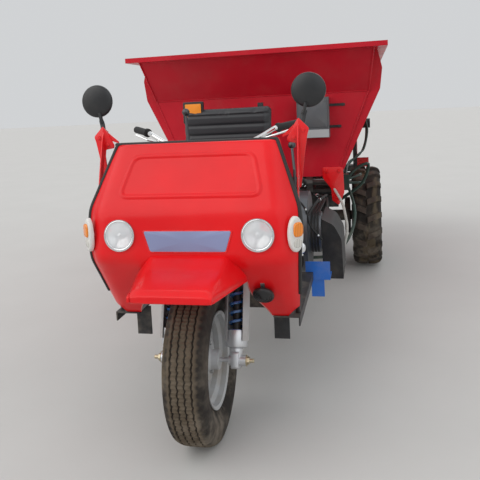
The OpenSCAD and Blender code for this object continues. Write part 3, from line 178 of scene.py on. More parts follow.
def shell(outer, thickness):
    """A closed wall: the outer grid, the same grid moved inwards along its normals, and the strips between
    their four borders."""
    inner = outer - thickness * grid_normals(outer)
    rows, columns = outer.shape[:2]
    count = rows * columns
    faces = quads(rows, columns)
    index = np.arange(count).reshape(rows, columns)
    border = np.concatenate([index[0, :-1], index[:-1, -1], index[-1, :0:-1], index[:0:-1, 0]])
    after = np.roll(border, -1)
    strip = np.stack([border, border + count, after + count, after], axis=-1)
    return (np.concatenate([outer.reshape(-1, 3), inner.reshape(-1, 3)]),
            np.concatenate([faces, faces[:, ::-1] + count, strip]))


def turned(profile, frame_matrix, count=48):
    """A closed profile of (radius, height) turned about a frame's Z: x = r cos a, y = r sin a, z = h."""
    profile = np.asarray(profile, float)
    a = np.linspace(0, 2 * np.pi, count, endpoint=False)[:, None]
    r, h = profile[None, :, 0], profile[None, :, 1]
    grid = np.stack([r * np.cos(a), r * np.sin(a), h + 0 * a], axis=-1)
    return moved(grid.reshape(-1, 3), frame_matrix), quads(count, len(profile), True, True)


def swept(path, section, closed=False):
    """A section of (side, up) points carried along a path without twist: each frame is the last one turned
    to the new heading; the ends of an open path are capped by a point in their middle."""
    path, section = np.asarray(path, float), np.asarray(section, float)
    ahead = np.roll(path, -1, 0) - path
    if not closed:
        ahead[-1] = ahead[-2]
    back = np.roll(ahead, 1, 0)
    if not closed:
        back[0] = ahead[0]
    heading = unit(unit(ahead) + unit(back))
    side = unit(np.cross(heading[0], [0, 0, 1] if abs(heading[0][2]) < 0.9 else [1, 0, 0]))
    sides = []
    for h in heading:
        side = unit(side - np.dot(side, h) * h)
        sides.append(side)
    sides = np.array(sides)
    ups = np.cross(sides, heading)
    grid = path[:, None] + section[None, :, :1] * sides[:, None] + section[None, :, 1:] * ups[:, None]
    if not closed:
        grid = np.concatenate([np.repeat(path[:1, None], len(section), 1), grid,
                               np.repeat(path[-1:, None], len(section), 1)])
    return grid.reshape(-1, 3), quads(len(grid), len(section), closed, True)


def ring(radius, count=12, wide=1.0):
    """A round section, or an oval one that is wide times broader than high."""
    a = np.linspace(0, 2 * np.pi, count, endpoint=False)
    return np.stack([wide * radius * np.cos(a), radius * np.sin(a)], axis=-1)


def slab(outline, steps, frame_matrix):
    """Rings of one flat outline, each shrunk by an inset towards the middle and lifted to a height, and both
    ends closed in their middle: steps is a list of (inset, height)."""
    outline = np.asarray(outline, float)
    middle = outline.mean(axis=0)
    out = unit(outline - middle)
    rings = [np.concatenate([outline - inset * out, np.full((len(outline), 1), height)], axis=1)
             for inset, height in steps]
    ends = [np.concatenate([np.tile(middle, (len(outline), 1)), np.full((len(outline), 1), steps[k][1])],
                           axis=1)
            for k in (0, -1)]
    grid = np.array([ends[0]] + rings + [ends[1]])
    return moved(grid.reshape(-1, 3), frame_matrix), quads(len(grid), len(outline), False, True)


def edge_steps(thickness, radius, count=4):
    """Insets and heights of a plate with both edges rounded."""
    a = np.linspace(0, np.pi / 2, count + 1)
    low = [(radius * (1 - math.sin(t)), radius * (1 - math.cos(t))) for t in a]
    return low + [(inset, thickness - height) for inset, height in reversed(low)]


def pillow(low, high, radius, count=40):
    """A box with every edge rounded: a ball's surface point n goes to the corner its signs point at, less
    the radius, plus radius * n."""
    low, high = np.asarray(low, float), np.asarray(high, float)
    u = np.linspace(0, 2 * np.pi, 4 * count, endpoint=False)[None, :]
    v = np.linspace(-np.pi / 2, np.pi / 2, 2 * count)[:, None]
    n = np.stack([np.cos(v) * np.cos(u), np.cos(v) * np.sin(u), np.sin(v) + 0 * u], axis=-1)
    core = (high - low) / 2 - radius
    signs = np.clip(n * 40, -1, 1)
    grid = (low + high) / 2 + core * signs + radius * n
    return grid.reshape(-1, 3), quads(2 * count, 4 * count, False, True)


def moved(points, matrix):
    """Points carried by a 4 x 4 matrix."""
    matrix = np.asarray(matrix, float)
    return np.asarray(points, float) @ matrix[:3, :3].T + matrix[:3, 3]


def frame_at(origin, z_axis, up=(0, 0, 1)):
    """A frame at a point: Z along z_axis, Y as near up as it can be."""
    z = unit(z_axis)
    x = unit(np.cross(up, z))
    matrix = np.eye(4)
    matrix[:3, 0], matrix[:3, 1], matrix[:3, 2], matrix[:3, 3] = x, np.cross(z, x), z, origin
    return matrix


def mirror_x(verts, faces):
    """The same surface on the machine's other side, its faces turned round again."""
    return verts * [-1, 1, 1], faces[:, ::-1]


def joined(*surfaces):
    """Several surfaces as one."""
    verts, faces, count = [], [], 0
    for v, f in surfaces:
        verts.append(v)
        faces.append(f + count)
        count += len(v)
    return np.concatenate(verts), np.concatenate(faces)


def both(surface):
    """A surface and its mirror image."""
    return joined(surface, mirror_x(*surface))


def scattered(surface, matrices):
    """One surface copied by every matrix, as one array product."""
    verts, faces = surface
    matrices = np.asarray(matrices, float)
    out = np.einsum("nij,vj->nvi", matrices[:, :3, :3], verts) + matrices[:, None, :3, 3]
    steps = (np.arange(len(matrices)) * len(verts))[:, None, None]
    return out.reshape(-1, 3), (faces[None] + steps).reshape(-1, faces.shape[1])


def brick(low, high):
    """A plain box between two corners, as a slab over its own outline."""
    low, high = np.asarray(low, float), np.asarray(high, float)
    outline = [(low[0], low[1]), (high[0], low[1]), (high[0], high[1]), (low[0], high[1])]
    return slab(outline, [(0, low[2]), (0, high[2])], np.eye(4))


def hex_head(radius, height):
    """A round washer under a six-sided head whose top corners are taken off."""
    washer = turned([(POLE, 0), (1.45 * radius, 0), (1.45 * radius, 0.18 * height), (POLE, 0.18 * height)],
                    np.eye(4), 24)
    head = turned([(POLE, 0.18 * height), (radius, 0.18 * height), (radius, 0.85 * height),
                   (0.86 * radius, height), (POLE, height)], np.eye(4), 6)
    return joined(washer, head)


def facing(places, z_axis, up=(0, 0, 1)):
    """A frame at each place, all looking the same way."""
    return [frame_at(at, z_axis, up) for at in places]


def piece(name, surface, material, body="chassis", stands_for=(), sharp=35):
    """Makes the mesh, merges poles and seams, points its faces outwards and hangs it on its body."""
    verts, faces = surface
    mesh = bpy.data.meshes.new(name)
    mesh.from_pydata(verts.tolist(), [], faces.tolist())
    work = bmesh.new()
    work.from_mesh(mesh)
    bmesh.ops.remove_doubles(work, verts=work.verts, dist=1e-6)
    bmesh.ops.dissolve_degenerate(work, edges=work.edges, dist=1e-7)
    bmesh.ops.recalc_face_normals(work, faces=work.faces)
    work.to_mesh(mesh)
    work.free()
    mesh.polygons.foreach_set("use_smooth", np.ones(len(mesh.polygons), bool))
    mesh.set_sharp_from_angle(angle=math.radians(sharp))
    obj = bpy.data.objects.new(name, mesh)
    bpy.context.scene.collection.objects.link(obj)
    mesh.materials.append(material)
    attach(obj, body)
    if stands_for:
        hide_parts(*stands_for)
    return obj


def cut(obj, surfaces):
    """Takes closed surfaces out of a piece, and keeps the result as its mesh."""
    name = obj.name + "_cutter"
    verts, faces = joined(*surfaces)
    mesh = bpy.data.meshes.new(name)
    mesh.from_pydata(verts.tolist(), [], faces.tolist())
    work = bmesh.new()
    work.from_mesh(mesh)
    bmesh.ops.remove_doubles(work, verts=work.verts, dist=1e-6)
    bmesh.ops.recalc_face_normals(work, faces=work.faces)
    work.to_mesh(mesh)
    work.free()
    cutter = bpy.data.objects.new(name, mesh)
    bpy.context.scene.collection.objects.link(cutter)
    modifier = obj.modifiers.new("cut", "BOOLEAN")
    modifier.object = cutter
    modifier.operation = "DIFFERENCE"
    modifier.solver = "MANIFOLD"
    keep_modifiers(obj)
    bpy.data.objects.remove(cutter)
    obj.data.polygons.foreach_set("use_smooth", np.ones(len(obj.data.polygons), bool))
    obj.data.set_sharp_from_angle(angle=math.radians(30))


def keep_modifiers(obj):
    """Writes what the modifiers make into the piece's own mesh."""
    made = bpy.data.meshes.new_from_object(obj.evaluated_get(bpy.context.evaluated_depsgraph_get()))
    obj.modifiers.clear()
    obj.data = made


# Finishes

class Wire:
    """A node's output that takes part in sums; every sign adds one Math node."""

    def __init__(self, finish, socket):
        self.finish, self.socket = finish, socket

    def sign(self, operation, first, second):
        """One Math node on two values or links."""
        return self.finish.node("ShaderNodeMath", {"operation": operation}, {0: first, 1: second})

    def __add__(self, other):
        return self.sign("ADD", self, other)

    def __radd__(self, other):
        return self.sign("ADD", other, self)

    def __sub__(self, other):
        return self.sign("SUBTRACT", self, other)

    def __rsub__(self, other):
        return self.sign("SUBTRACT", other, self)

    def __mul__(self, other):
        return self.sign("MULTIPLY", self, other)

    def __rmul__(self, other):
        return self.sign("MULTIPLY", other, self)

    def __pow__(self, other):
        return self.sign("POWER", self, other)


class Finish:
    """One material being made, on the object's own coordinates."""

    def __init__(self, name):
        self.material = bpy.data.materials.new(name)
        self.material.use_nodes = True
        self.tree = self.material.node_tree
        self.shader = self.tree.nodes["Principled BSDF"]
        self.where = self.node("ShaderNodeTexCoord", out="Object")

    def node(self, kind, settings=None, values=None, out=0):
        """Adds a node: its settings first, then a number, colour or link for each named socket."""
        made = self.tree.nodes.new(kind)
        for key, value in (settings or {}).items():
            setattr(made, key, value)
        for key, value in (values or {}).items():
            self.feed(made.inputs[key], value)
        return Wire(self, made.outputs[out])

    def feed(self, socket, value):
        """Links a wire to a socket, or sets the socket's own value."""
        if isinstance(value, Wire):
            self.tree.links.new(value.socket, socket)
        else:
            socket.default_value = value

    def noise(self, scale, detail=3.0, rough=0.55, stretch=(1, 1, 1)):
        """Cloudy noise from 0 to 1, stretched by a scale along each axis if given."""
        where = self.node("ShaderNodeMapping", None, {"Vector": self.where, "Scale": stretch})
        return self.node("ShaderNodeTexNoise", None, {"Vector": where, "Scale": scale, "Detail": detail,
                                                      "Roughness": rough}, "Fac")

    def part(self, axis):
        """One coordinate of the place on the surface, in metres."""
        return self.node("ShaderNodeSeparateXYZ", None, {0: self.where}, axis)

    def span(self, value, low, high):
        """0 below low, 1 above high, and a smooth step between them."""
        return self.node("ShaderNodeMapRange", {"interpolation_type": "SMOOTHSTEP"},
                         {"Value": value, "From Min": low, "From Max": high})

    def mix(self, factor, first, second):
        """Two colours mixed by a factor."""
        full = [tuple(c) + (1,) if not isinstance(c, Wire) else c for c in (first, second)]
        return self.node("ShaderNodeMix", {"data_type": "RGBA"}, {0: factor, 6: full[0], 7: full[1]}, 2)

    def dusted(self, colour, amount, low=0.15, high=1.0, dust=(0.32, 0.27, 0.21)):
        """Road dust, thickest near the floor and broken up by noise."""
        near = 1 - self.span(self.part("Z"), low, high)
        patch = self.span(self.noise(7, 4, 0.65), 0.42, 0.78)
        return self.mix((0.25 + near) * patch * amount, colour, dust)

    def bump(self, height, distance, strength=1.0, edge=0.0):
        """A normal from heights; edge rounds the sharp edges of a plain solid over that radius."""
        values = {"Height": height, "Distance": distance, "Strength": strength}
        if edge:
            values["Normal"] = self.node("ShaderNodeBevel", {"samples": 4}, {"Radius": edge})
        return self.node("ShaderNodeBump", None, values)

    def done(self, **sockets):
        """Feeds the shader's sockets and returns the material."""
        for key, value in sockets.items():
            name = key.replace("_", " ").title().replace("Ior", "IOR")
            if name == "Base Color" and not isinstance(value, Wire):
                value = tuple(value) + (1,)
            self.feed(self.shader.inputs[name], value)
        return self.material


def shaded(colour, factor):
    """A colour made darker or lighter."""
    return tuple(min(1.0, c * factor) for c in colour[:3])


def gloss_paint(name, colour, rough=0.24, dust=0.25, edge=0.0, coat=0.5, shine=0.3):
    """Sprayed enamel: faint cloudy tone, orange peel in the gloss, and dust low down."""
    f = Finish(name)
    cloud = f.span(f.noise(2.3, 3), 0.3, 0.7)
    base = f.mix(cloud, shaded(colour, 0.9), shaded(colour, 1.06))
    base = f.dusted(base, dust)
    smear = f.span(f.noise(5, 5, 0.7, (1, 1, 0.35)), 0.45, 0.75)
    peel = f.noise(260, 2) + 0.6 * f.noise(38, 2)
    return f.done(base_color=base, roughness=rough + 0.16 * smear, coat_weight=coat, coat_roughness=0.12,
                  specular_ior_level=shine, normal=f.bump(peel, 0.00025, 0.35, edge))


def frame_paint(name, colour, rough=0.42, dust=0.5, edge=0.0015):
    """Thick black chassis paint with brush drag, chips of primer and dust."""
    f = Finish(name)
    drag = f.noise(30, 3, 0.6, (1, 0.15, 1))
    base = f.mix(f.span(drag, 0.35, 0.7), shaded(colour, 0.75), shaded(colour, 1.5))
    chip = f.span(f.noise(55, 5, 0.7), 0.7, 0.74)
    base = f.mix(chip * 0.6, base, (0.16, 0.12, 0.1))
    base = f.dusted(base, dust, 0.2, 1.1)
    return f.done(base_color=base, roughness=rough + 0.2 * drag,
                  normal=f.bump(drag - 0.5 * chip, 0.0004, 0.5, edge))


def bare_metal(name, colour, rough=0.3, brushed=(1, 1, 1), stain=0.35, edge=0.001, tint=(0.2, 0.12, 0.07)):
    """Bare or plated metal: brushed along one axis, with handling marks and a stain in patches."""
    f = Finish(name)
    line = f.noise(120, 3, 0.6, brushed)
    patch = f.span(f.noise(9, 5, 0.7), 0.5, 0.72)
    base = f.mix(line, shaded(colour, 0.82), shaded(colour, 1.1))
    base = f.mix(patch * stain, base, tint)
    return f.done(base_color=base, metallic=1.0 - 0.5 * stain * patch,
                  roughness=rough + 0.12 * line + 0.25 * patch,
                  normal=f.bump(line, 0.0002, 0.4, edge))


def cast_metal(name, colour, rough=0.5, metal=0.7, oil=0.5, edge=0.002):
    """Sand-cast metal: a grainy skin, oil-dark patches and worn paint."""
    f = Finish(name)
    grain = f.noise(240, 4, 0.7)
    oily = f.span(f.noise(11, 5, 0.65), 0.46, 0.66)
    base = f.mix(f.noise(18, 3), shaded(colour, 0.7), shaded(colour, 1.2))
    base = f.mix(oily * oil, base, (0.012, 0.01, 0.009))
    base = f.dusted(base, 0.15, 0.3, 1.0)
    return f.done(base_color=base, metallic=metal, roughness=rough - 0.22 * oily * oil + 0.1 * grain,
                  specular_ior_level=0.3, normal=f.bump(grain, 0.0009, 0.6, edge))


def rubber(name, colour, rough=0.62, dust=0.6, grain=0.0004):
    """Matt rubber with a fine moulded grain and dust."""
    f = Finish(name)
    mottle = f.noise(28, 4, 0.6)
    base = f.mix(mottle, shaded(colour, 0.7), shaded(colour, 1.4))
    base = f.dusted(base, dust, 0.1, 0.9)
    return f.done(base_color=base, roughness=rough + 0.15 * mottle,
                  normal=f.bump(f.noise(420, 3), grain, 0.5))


def tread_rubber(name, colour, crown, box):
    """Rubber of a wheel in a box: worn and dusty brown where the distance from the axle reaches the crown,
    near black in the grooves, and a little tan soil left in some of them."""
    f = Finish(name)
    low, high = (np.array(corner) for corner in box)
    middle, radius = (low + high) / 2, (high[2] - low[2]) / 2
    across, up = f.part("Y") - float(middle[1]), f.part("Z") - float(middle[2])
    reach = (across * across + up * up) ** 0.5
    top = f.span(reach, radius - 0.010, radius - 0.001)
    tread = f.span(reach, radius - 0.040, radius - 0.024)
    soil = f.span(f.noise(9, 3, 0.6, (1, 0.4, 0.4)), 0.5, 0.62)
    mottle = f.noise(34, 4, 0.65)
    deep = f.mix(soil * tread * 0.55, f.mix(mottle, shaded(colour, 0.5), shaded(colour, 1.1)),
                 (0.17, 0.13, 0.08))
    worn = f.mix(mottle, shaded(crown, 0.62), shaded(crown, 1.35))
    base = f.dusted(f.mix(top, deep, worn), 0.5, 0.05, 0.7)
    return f.done(base_color=base, roughness=0.7 + 0.15 * mottle, specular_ior_level=0.3,
                  normal=f.bump(f.noise(420, 3), 0.0007, 0.5))


def plastic(name, colour, rough=0.35, dust=0.25):
    """Moulded plastic with a fine leather grain."""
    f = Finish(name)
    cells = f.node("ShaderNodeTexVoronoi", None, {"Vector": f.where, "Scale": 380.0}, "Distance")
    base = f.dusted(f.mix(f.noise(14), shaded(colour, 0.85), shaded(colour, 1.12)), dust)
    return f.done(base_color=base, roughness=rough + 0.12 * f.noise(60), normal=f.bump(cells, 0.0003, 0.4))


def vinyl(name, colour):
    """Seat cover: pebbled grain, soft creases and a satin shine where it's rubbed."""
    f = Finish(name)
    pebble = f.node("ShaderNodeTexVoronoi", None, {"Vector": f.where, "Scale": 520.0}, "Distance")
    crease = f.noise(24, 5, 0.7, (1, 1, 2.5))
    rubbed = f.span(f.noise(6, 3), 0.4, 0.7)
    base = f.mix(rubbed, shaded(colour, 0.8), shaded(colour, 1.5))
    base = f.dusted(base, 0.25, 0.6, 1.6)
    return f.done(base_color=base, roughness=0.52 - 0.14 * rubbed,
                  normal=f.bump(pebble * 0.4 + crease, 0.0012, 0.5))


def lens_plastic(name, colour):
    """Ribbed lamp plastic: fine upright flutes under a glossy face."""
    f = Finish(name)
    flute = f.node("ShaderNodeTexWave", {"wave_type": "BANDS", "bands_direction": "X"},
                   {"Vector": f.where, "Scale": 55.0, "Distortion": 0.0})
    base = f.mix(flute, shaded(colour, 0.75), shaded(colour, 1.15))
    return f.done(base_color=base, roughness=0.12 + 0.1 * f.noise(40), coat_weight=0.6,
                  normal=f.bump(flute, 0.0006, 0.6))


def lamp_glass(name):
    """Clear pressed glass with faint prisms."""
    f = Finish(name)
    prism = f.node("ShaderNodeTexWave", {"wave_type": "BANDS", "bands_direction": "X"},
                   {"Vector": f.where, "Scale": 22.0, "Distortion": 0.0})
    return f.done(base_color=(0.95, 0.97, 0.98), roughness=0.03, transmission_weight=1.0, ior=1.2,
                  normal=f.bump(prism, 0.0008, 0.35))


def mirror_silver(name):
    """Silvered glass with a few specks of dust."""
    f = Finish(name)
    speck = f.span(f.noise(90, 4, 0.7), 0.62, 0.8)
    return f.done(base_color=f.mix(speck * 0.4, (0.86, 0.88, 0.9), (0.45, 0.42, 0.36)), metallic=1.0,
                  roughness=0.03 + 0.3 * speck)


def slatted(name, colour):
    """Oiled chain and slats: dark steel, rust in the hollows and a polished top."""
    f = Finish(name)
    rust = f.span(f.noise(16, 5, 0.7), 0.48, 0.7)
    base = f.mix(rust, colour, (0.13, 0.05, 0.02))
    return f.done(base_color=base, metallic=0.9 - 0.7 * rust, roughness=0.35 + 0.35 * rust,
                  normal=f.bump(f.noise(150, 4, 0.7), 0.0006, 0.6, 0.0012))


def make_finishes():
    """Every finish of the machine, by name."""
    c = colours()
    return {
        "fairing_enamel": gloss_paint("fairing_enamel", c.fairing, 0.3, 0.1, 0.0, 0.2, 0.22),
        "bracket_enamel": gloss_paint("bracket_enamel", c.fairing, 0.26, 0.2, 0.0015),
        "hopper_enamel": gloss_paint("hopper_enamel", c.hopper, 0.36, 0.22, 0.003, 0.12, 0.22),
        "chassis_black": frame_paint("chassis_black", c.frame),
        "hoop_black": frame_paint("hoop_black", c.frame, 0.35, 0.15),
        "guard_black": frame_paint("guard_black", shaded(c.frame, 0.5), 0.5, 0.1, 0.0),
        "step_blue": gloss_paint("step_blue", c.step, 0.35, 0.3, 0.0015, 0.3),
        "lamp_chrome": bare_metal("lamp_chrome", (0.8, 0.81, 0.82), 0.08, (1, 1, 1), 0.05, 0.0),
        "lamp_glass": lamp_glass("lamp_glass"),
        "signal_white": plastic("signal_white", (0.72, 0.71, 0.68), 0.22, 0.1),
        "signal_clear": lens_plastic("signal_clear", (0.62, 0.6, 0.55)),
        "signal_amber": lens_plastic("signal_amber", c.amber),
        "tail_red": lens_plastic("tail_red", (0.5, 0.01, 0.012)),
        "horn_black": plastic("horn_black", (0.012, 0.012, 0.013), 0.3),
        "mirror_black": plastic("mirror_black", (0.014, 0.015, 0.017), 0.32, 0.12),
        "mirror_silver": mirror_silver("mirror_silver"),
        "seat_vinyl": vinyl("seat_vinyl", (0.016, 0.016, 0.018)),
        "piping": plastic("piping", (0.34, 0.33, 0.31), 0.45),
        "lever_steel": bare_metal("lever_steel", (0.55, 0.55, 0.56), 0.25, (1, 1, 0.1), 0.2),
        "lever_dark": bare_metal("lever_dark", (0.10, 0.10, 0.105), 0.3, (1, 1, 0.1), 0.3),
        # Dark grey of the control box and its lid: painted shadow over a box that is light grey
        "box_shadow_grey": gloss_paint("box_shadow_grey", (0.115, 0.12, 0.13), 0.42, 0.3, 0.002, 0.0),
        "engine_iron": cast_metal("engine_iron", (0.022, 0.026, 0.028), 0.5, 0.3, 0.6),
        "engine_alloy": cast_metal("engine_alloy", (0.5, 0.5, 0.5), 0.42, 0.85, 0.3),
        "gear_iron": cast_metal("gear_iron", (0.028, 0.028, 0.03), 0.5, 0.3, 0.6),
        "belt": rubber("belt", (0.010, 0.010, 0.010), 0.6, 0.2),
        "exhaust_steel": bare_metal("exhaust_steel", (0.22, 0.2, 0.18), 0.45, (1, 0.2, 1), 0.8, 0.001,
                                    (0.1, 0.05, 0.03)),
        "chain_steel": slatted("chain_steel", (0.12, 0.115, 0.11)),
        "disc_steel": bare_metal("disc_steel", (0.42, 0.42, 0.41), 0.38, (1, 1, 1), 0.6, 0.0015,
                                 (0.16, 0.07, 0.03)),
        "hose_green": rubber("hose_green", (0.012, 0.04, 0.03), 0.4, 0.3),
        "slider_alloy": bare_metal("slider_alloy", (0.62, 0.63, 0.65), 0.3, (1, 1, 0.2), 0.25),
        "spring_blue": gloss_paint("spring_blue", c.springs, 0.2, 0.15, 0.0, 0.8, 0.6),
        "bar_chrome": bare_metal("bar_chrome", (0.7, 0.7, 0.71), 0.14, (1, 1, 1), 0.12),
        "grip_rubber": rubber("grip_rubber", (0.014, 0.014, 0.014), 0.55, 0.1),
        "trim_rubber": rubber("trim_rubber", (0.012, 0.012, 0.012), 0.5, 0.1),
        "front_rubber": tread_rubber("front_rubber", c.tyre, (0.098, 0.074, 0.050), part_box("front_tyre")),
        "rear_rubber": tread_rubber("rear_rubber", c.tyre, (0.070, 0.053, 0.042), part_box("rear_tyre_left")),
        "rim_silver": gloss_paint("rim_silver", (0.46, 0.47, 0.48), 0.3, 0.55, 0.002, 0.3),
        "plate_blue": gloss_paint("plate_blue", c.plate, 0.3, 0.05, 0.0, 0.3),
        "tag_orange": plastic("tag_orange", c.orange, 0.4, 0.05),
        "brass": bare_metal("brass", (0.6, 0.52, 0.36), 0.3, (1, 1, 1), 0.2),
        "cut_edge": gloss_paint("cut_edge", (0.55, 0.2, 0.18), 0.5, 0.3, 0.0, 0.0),
        "guard_grey": gloss_paint("guard_grey", (0.42, 0.42, 0.42), 0.35, 0.4, 0.0, 0.2),
        "pale_hose": rubber("pale_hose", (0.42, 0.41, 0.38), 0.45, 0.5),
    }


NODE_FINISHES = {
    "chassis_black": ["chassis_frame", "footboards", "seat_frame", "hopper_frame", "spreader_frame",
                      "rear_axle",
                      "leaf_springs", "radiator", "air_cleaner", "fork"],
    "hoop_black": ["fairing_hoop"],
    "fairing_enamel": ["fairing"],
    "bracket_enamel": ["mirror_brackets", "fuel_tank"],
    "hopper_enamel": ["hopper_floor", "hopper_lower_sides", "hopper_upper_sides", "hopper_end_walls",
                      "hopper_headboard", "rear_gate", "beater_housing"],
    "step_blue": ["side_step"],
    "lamp_chrome": ["headlight_bowls"],
    "lamp_glass": ["headlight_lenses"],
    "signal_white": ["turn_signals"],
    "tail_red": ["rear_lamps"],
    "horn_black": ["horn"],
    "mirror_black": ["mirrors"],
    "mirror_silver": ["mirror_glasses"],
    "seat_vinyl": ["seat_cushion", "seat_back"],
    "lever_dark": ["control_levers"],
    # The control box gets the dark grey of painted shadow
    "box_shadow_grey": ["control_box"],
    "engine_iron": ["engine_block", "flywheel"],
    "engine_alloy": ["engine_covers"],
    "gear_iron": ["gearbox", "beater_motor"],
    "belt": ["drive_belts"],
    "exhaust_steel": ["exhaust"],
    "chain_steel": ["floor_conveyor", "conveyor_shafts", "beater"],
    "disc_steel": ["spinner_left", "spinner_right"],
    "hose_green": ["hydraulic_hoses"],
    "slider_alloy": ["fork_sliders"],
    "spring_blue": ["fork_springs"],
    "bar_chrome": ["handlebar"],
    "grip_rubber": ["hand_grips"],
    "front_rubber": ["front_tyre"],
    "rear_rubber": ["rear_tyre_left", "rear_tyre_right"],
    "rim_silver": ["front_rim", "rear_rim_left", "rear_rim_right"],
}


def finish(name):
    """The finish of this name, made before."""
    return bpy.data.materials[name]


class SPREADER_OT_finishes(bpy.types.Operator):
    """Make the finishes and put them on the frame's own solids"""
    bl_idname = "spreader.finishes"
    bl_label = "Finishes"

    def execute(self, context):
        make_finishes()
        for name, nodes in NODE_FINISHES.items():
            for node in nodes:
                slots = frame["nodes"][node].data.materials
                slots.clear()
                slots.append(finish(name))
        return {"FINISHED"}


# Fairing and nose

# Fairing levels from the front axle: height, front face, front half width, rear edge, rear half width
LEVELS = np.array([
    [0.506, 0.066, 0.374, 0.096, 0.396],
    [0.790, -0.145, 0.378, -0.088, 0.424],
    [0.975, -0.125, 0.368, -0.062, 0.428],
    [1.232, 0.038, 0.322, 0.058, 0.336],
    [1.232, 0.060, 0.300, 0.060, 0.334]])
TOP_CREASE = 0.012
LAMP_X, LAMP_Z = 0.276, 0.886
LAMP_HOLE = 0.056
# The wheel opening, the cut at the toe and the bead: across and up, the bead along its own panel
ARCH = [(-0.214, 0.712), (-0.214, 0.630), (-0.286, 0.516), (-0.300, 0.400), (0.300, 0.400), (0.286, 0.516),
        (0.214, 0.630), (0.214, 0.712)]
TOE_CUT = [(0.330, 0.400), (0.344, 0.500), (0.396, 0.552), (0.460, 0.560), (0.460, 0.400)]
PANEL_BEAD = [(-0.287, 0.067), (0.287, 0.067), (0.247, 0.247), (-0.247, 0.247)]


def face_y(z):
    """The front face's place along the machine at a height, from the levels."""
    return np.interp(z, LEVELS[:4, 0], LEVELS[:4, 1])


def fairing_grid():
    """Outer face of the fairing: each level is a four-point outline from the right rear edge round the front
    to the left rear edge; levels and outlines are softened one after the other into a grid."""
    z, front, half, rear, rear_half = LEVELS.T
    net = np.stack([np.stack([-rear_half, rear, z], 1), np.stack([-half, front, z], 1),
                    np.stack([half, front, z], 1), np.stack([rear_half, rear, z], 1)], axis=1)
    bend = sizes().crease
    net = soften(net, [0, bend, bend, TOP_CREASE, 0], 8)
    net = spread(net, 0.014)
    across = soften(net.swapaxes(0, 1), sizes().corner, 8)
    return place(spread(across, 0.012).swapaxes(0, 1))[:, ::-1]


def prism(outline, low, high):
    """A flat (x, z) outline carried along the machine from low to high, closed in the middle of each end."""
    outline = np.asarray(outline, float)
    middle = outline.mean(axis=0)
    rows = [(np.tile(middle, (len(outline), 1)), low), (outline, low), (outline, high),
            (np.tile(middle, (len(outline), 1)), high)]
    grid = np.array([np.stack([p[:, 0], np.full(len(p), y), p[:, 1]], 1) for p, y in rows])
    return place(grid.reshape(-1, 3)), quads(4, len(outline), False, True)


def band_frame(x, z):
    """A frame on the lamp band, its Z pointing forwards out of the face."""
    slope = np.array([0, LEVELS[2, 1] - LEVELS[1, 1], LEVELS[2, 0] - LEVELS[1, 0]])
    return frame_at(place([x, face_y(z), z]), np.cross(slope, [-1, 0, 0]), slope)


def panel_frame():
    """A frame at the middle of the shoulder crease, its Z pointing out of the upper panel."""
    slope = np.array([0, LEVELS[3, 1] - LEVELS[2, 1], LEVELS[3, 0] - LEVELS[2, 0]])
    return frame_at(place([0, LEVELS[2, 1], LEVELS[2, 0]]), np.cross(slope, [-1, 0, 0]), slope)


def tube_cutter(matrix, radius, low, high):
    """A plain round cutter along a frame's Z."""
    return turned([(0, low), (radius, low), (radius, high), (0, high)], matrix, 72)


def build_fairing():
    """The fairing's wall, with the wheel opening, the toe cuts and the lamp holes taken out of it."""
    skin = piece("fairing_skin", shell(fairing_grid(), sizes().skin), finish("fairing_enamel"),
                 stands_for=("fairing",))
    arch = soften(np.array(ARCH), 0.034, 6, True)
    toe = soften(np.array(TOE_CUT), [0, 0.026, 0.026, 0, 0], 6, True)
    toe_left = prism(toe, -0.2, 0.3)
    lamps = [tube_cutter(band_frame(side * LAMP_X, LAMP_Z), LAMP_HOLE, -0.05, 0.05) for side in (-1, 1)]
    cut(skin, [prism(arch, -0.2, 0.2), toe_left, mirror_x(*toe_left)] + lamps)


def build_bead():
    """The pressed bead: a bell section, height * cos^2, carried round the softened trapezoid."""
    width, height = sizes().bead_width, sizes().bead_height
    s = np.linspace(-0.5, 0.5, 13)
    bell = np.stack([width * s, height * np.cos(np.pi * s) ** 2 - 0.0004], 1)
    section = np.concatenate([bell, [(0.3 * width, -0.002), (-0.3 * width, -0.002)]])
    outline = spread(soften(np.array(PANEL_BEAD), 0.04, 10, True), 0.02, True)
    path = moved(np.concatenate([outline, np.zeros((len(outline), 1))], 1), panel_frame())
    out = panel_frame()[:3, 2]
    heading = unit(np.roll(path, -1, 0) - np.roll(path, 1, 0))
    side = np.cross(heading, out)
    grid = path[:, None] + section[None, :, :1] * side[:, None] + section[None, :, 1:] * out
    surface = grid.reshape(-1, 3), quads(len(path), len(section), True, True)
    piece("panel_bead", surface, finish("fairing_enamel"), sharp=60)


# Nose rows from the band to the lip: station, side foot, side foot height, shoulder, shoulder height
NOSE = np.array([
    [-0.118, 0.2215, 0.724, 0.152, 0.816],
    [-0.145, 0.2145, 0.724, 0.152, 0.806],
    [-0.220, 0.1960, 0.724, 0.150, 0.772],
    [-0.378, 0.1565, 0.724, 0.137, 0.743],
    [-0.403, 0.1500, 0.722, 0.133, 0.726],
    [-0.403, 0.1500, 0.706, 0.133, 0.706]])
NOSE_LIP = 0.704


def nose_grid():
    """Outer face of the nose: each row runs from the left foot over both shoulders to the right foot, and
    rows and outlines are softened in turn."""
    y, foot, foot_z, top, top_z = NOSE.T
    lip = np.minimum(foot_z, NOSE_LIP)
    net = np.stack([np.stack([-foot, y, lip], 1), np.stack([-foot, y, foot_z], 1),
                    np.stack([-top, y, top_z], 1),
                    np.stack([top, y, top_z], 1), np.stack([foot, y, foot_z], 1),
                    np.stack([foot, y, lip], 1)], axis=1)
    net = spread(soften(net, [0, 0.004, 0.02, 0.009, 0.006, 0], 6), 0.012)
    across = soften(net.swapaxes(0, 1), [0, 0.007, 0.022, 0.022, 0.007, 0], 6)
    return place(spread(across, 0.012).swapaxes(0, 1))


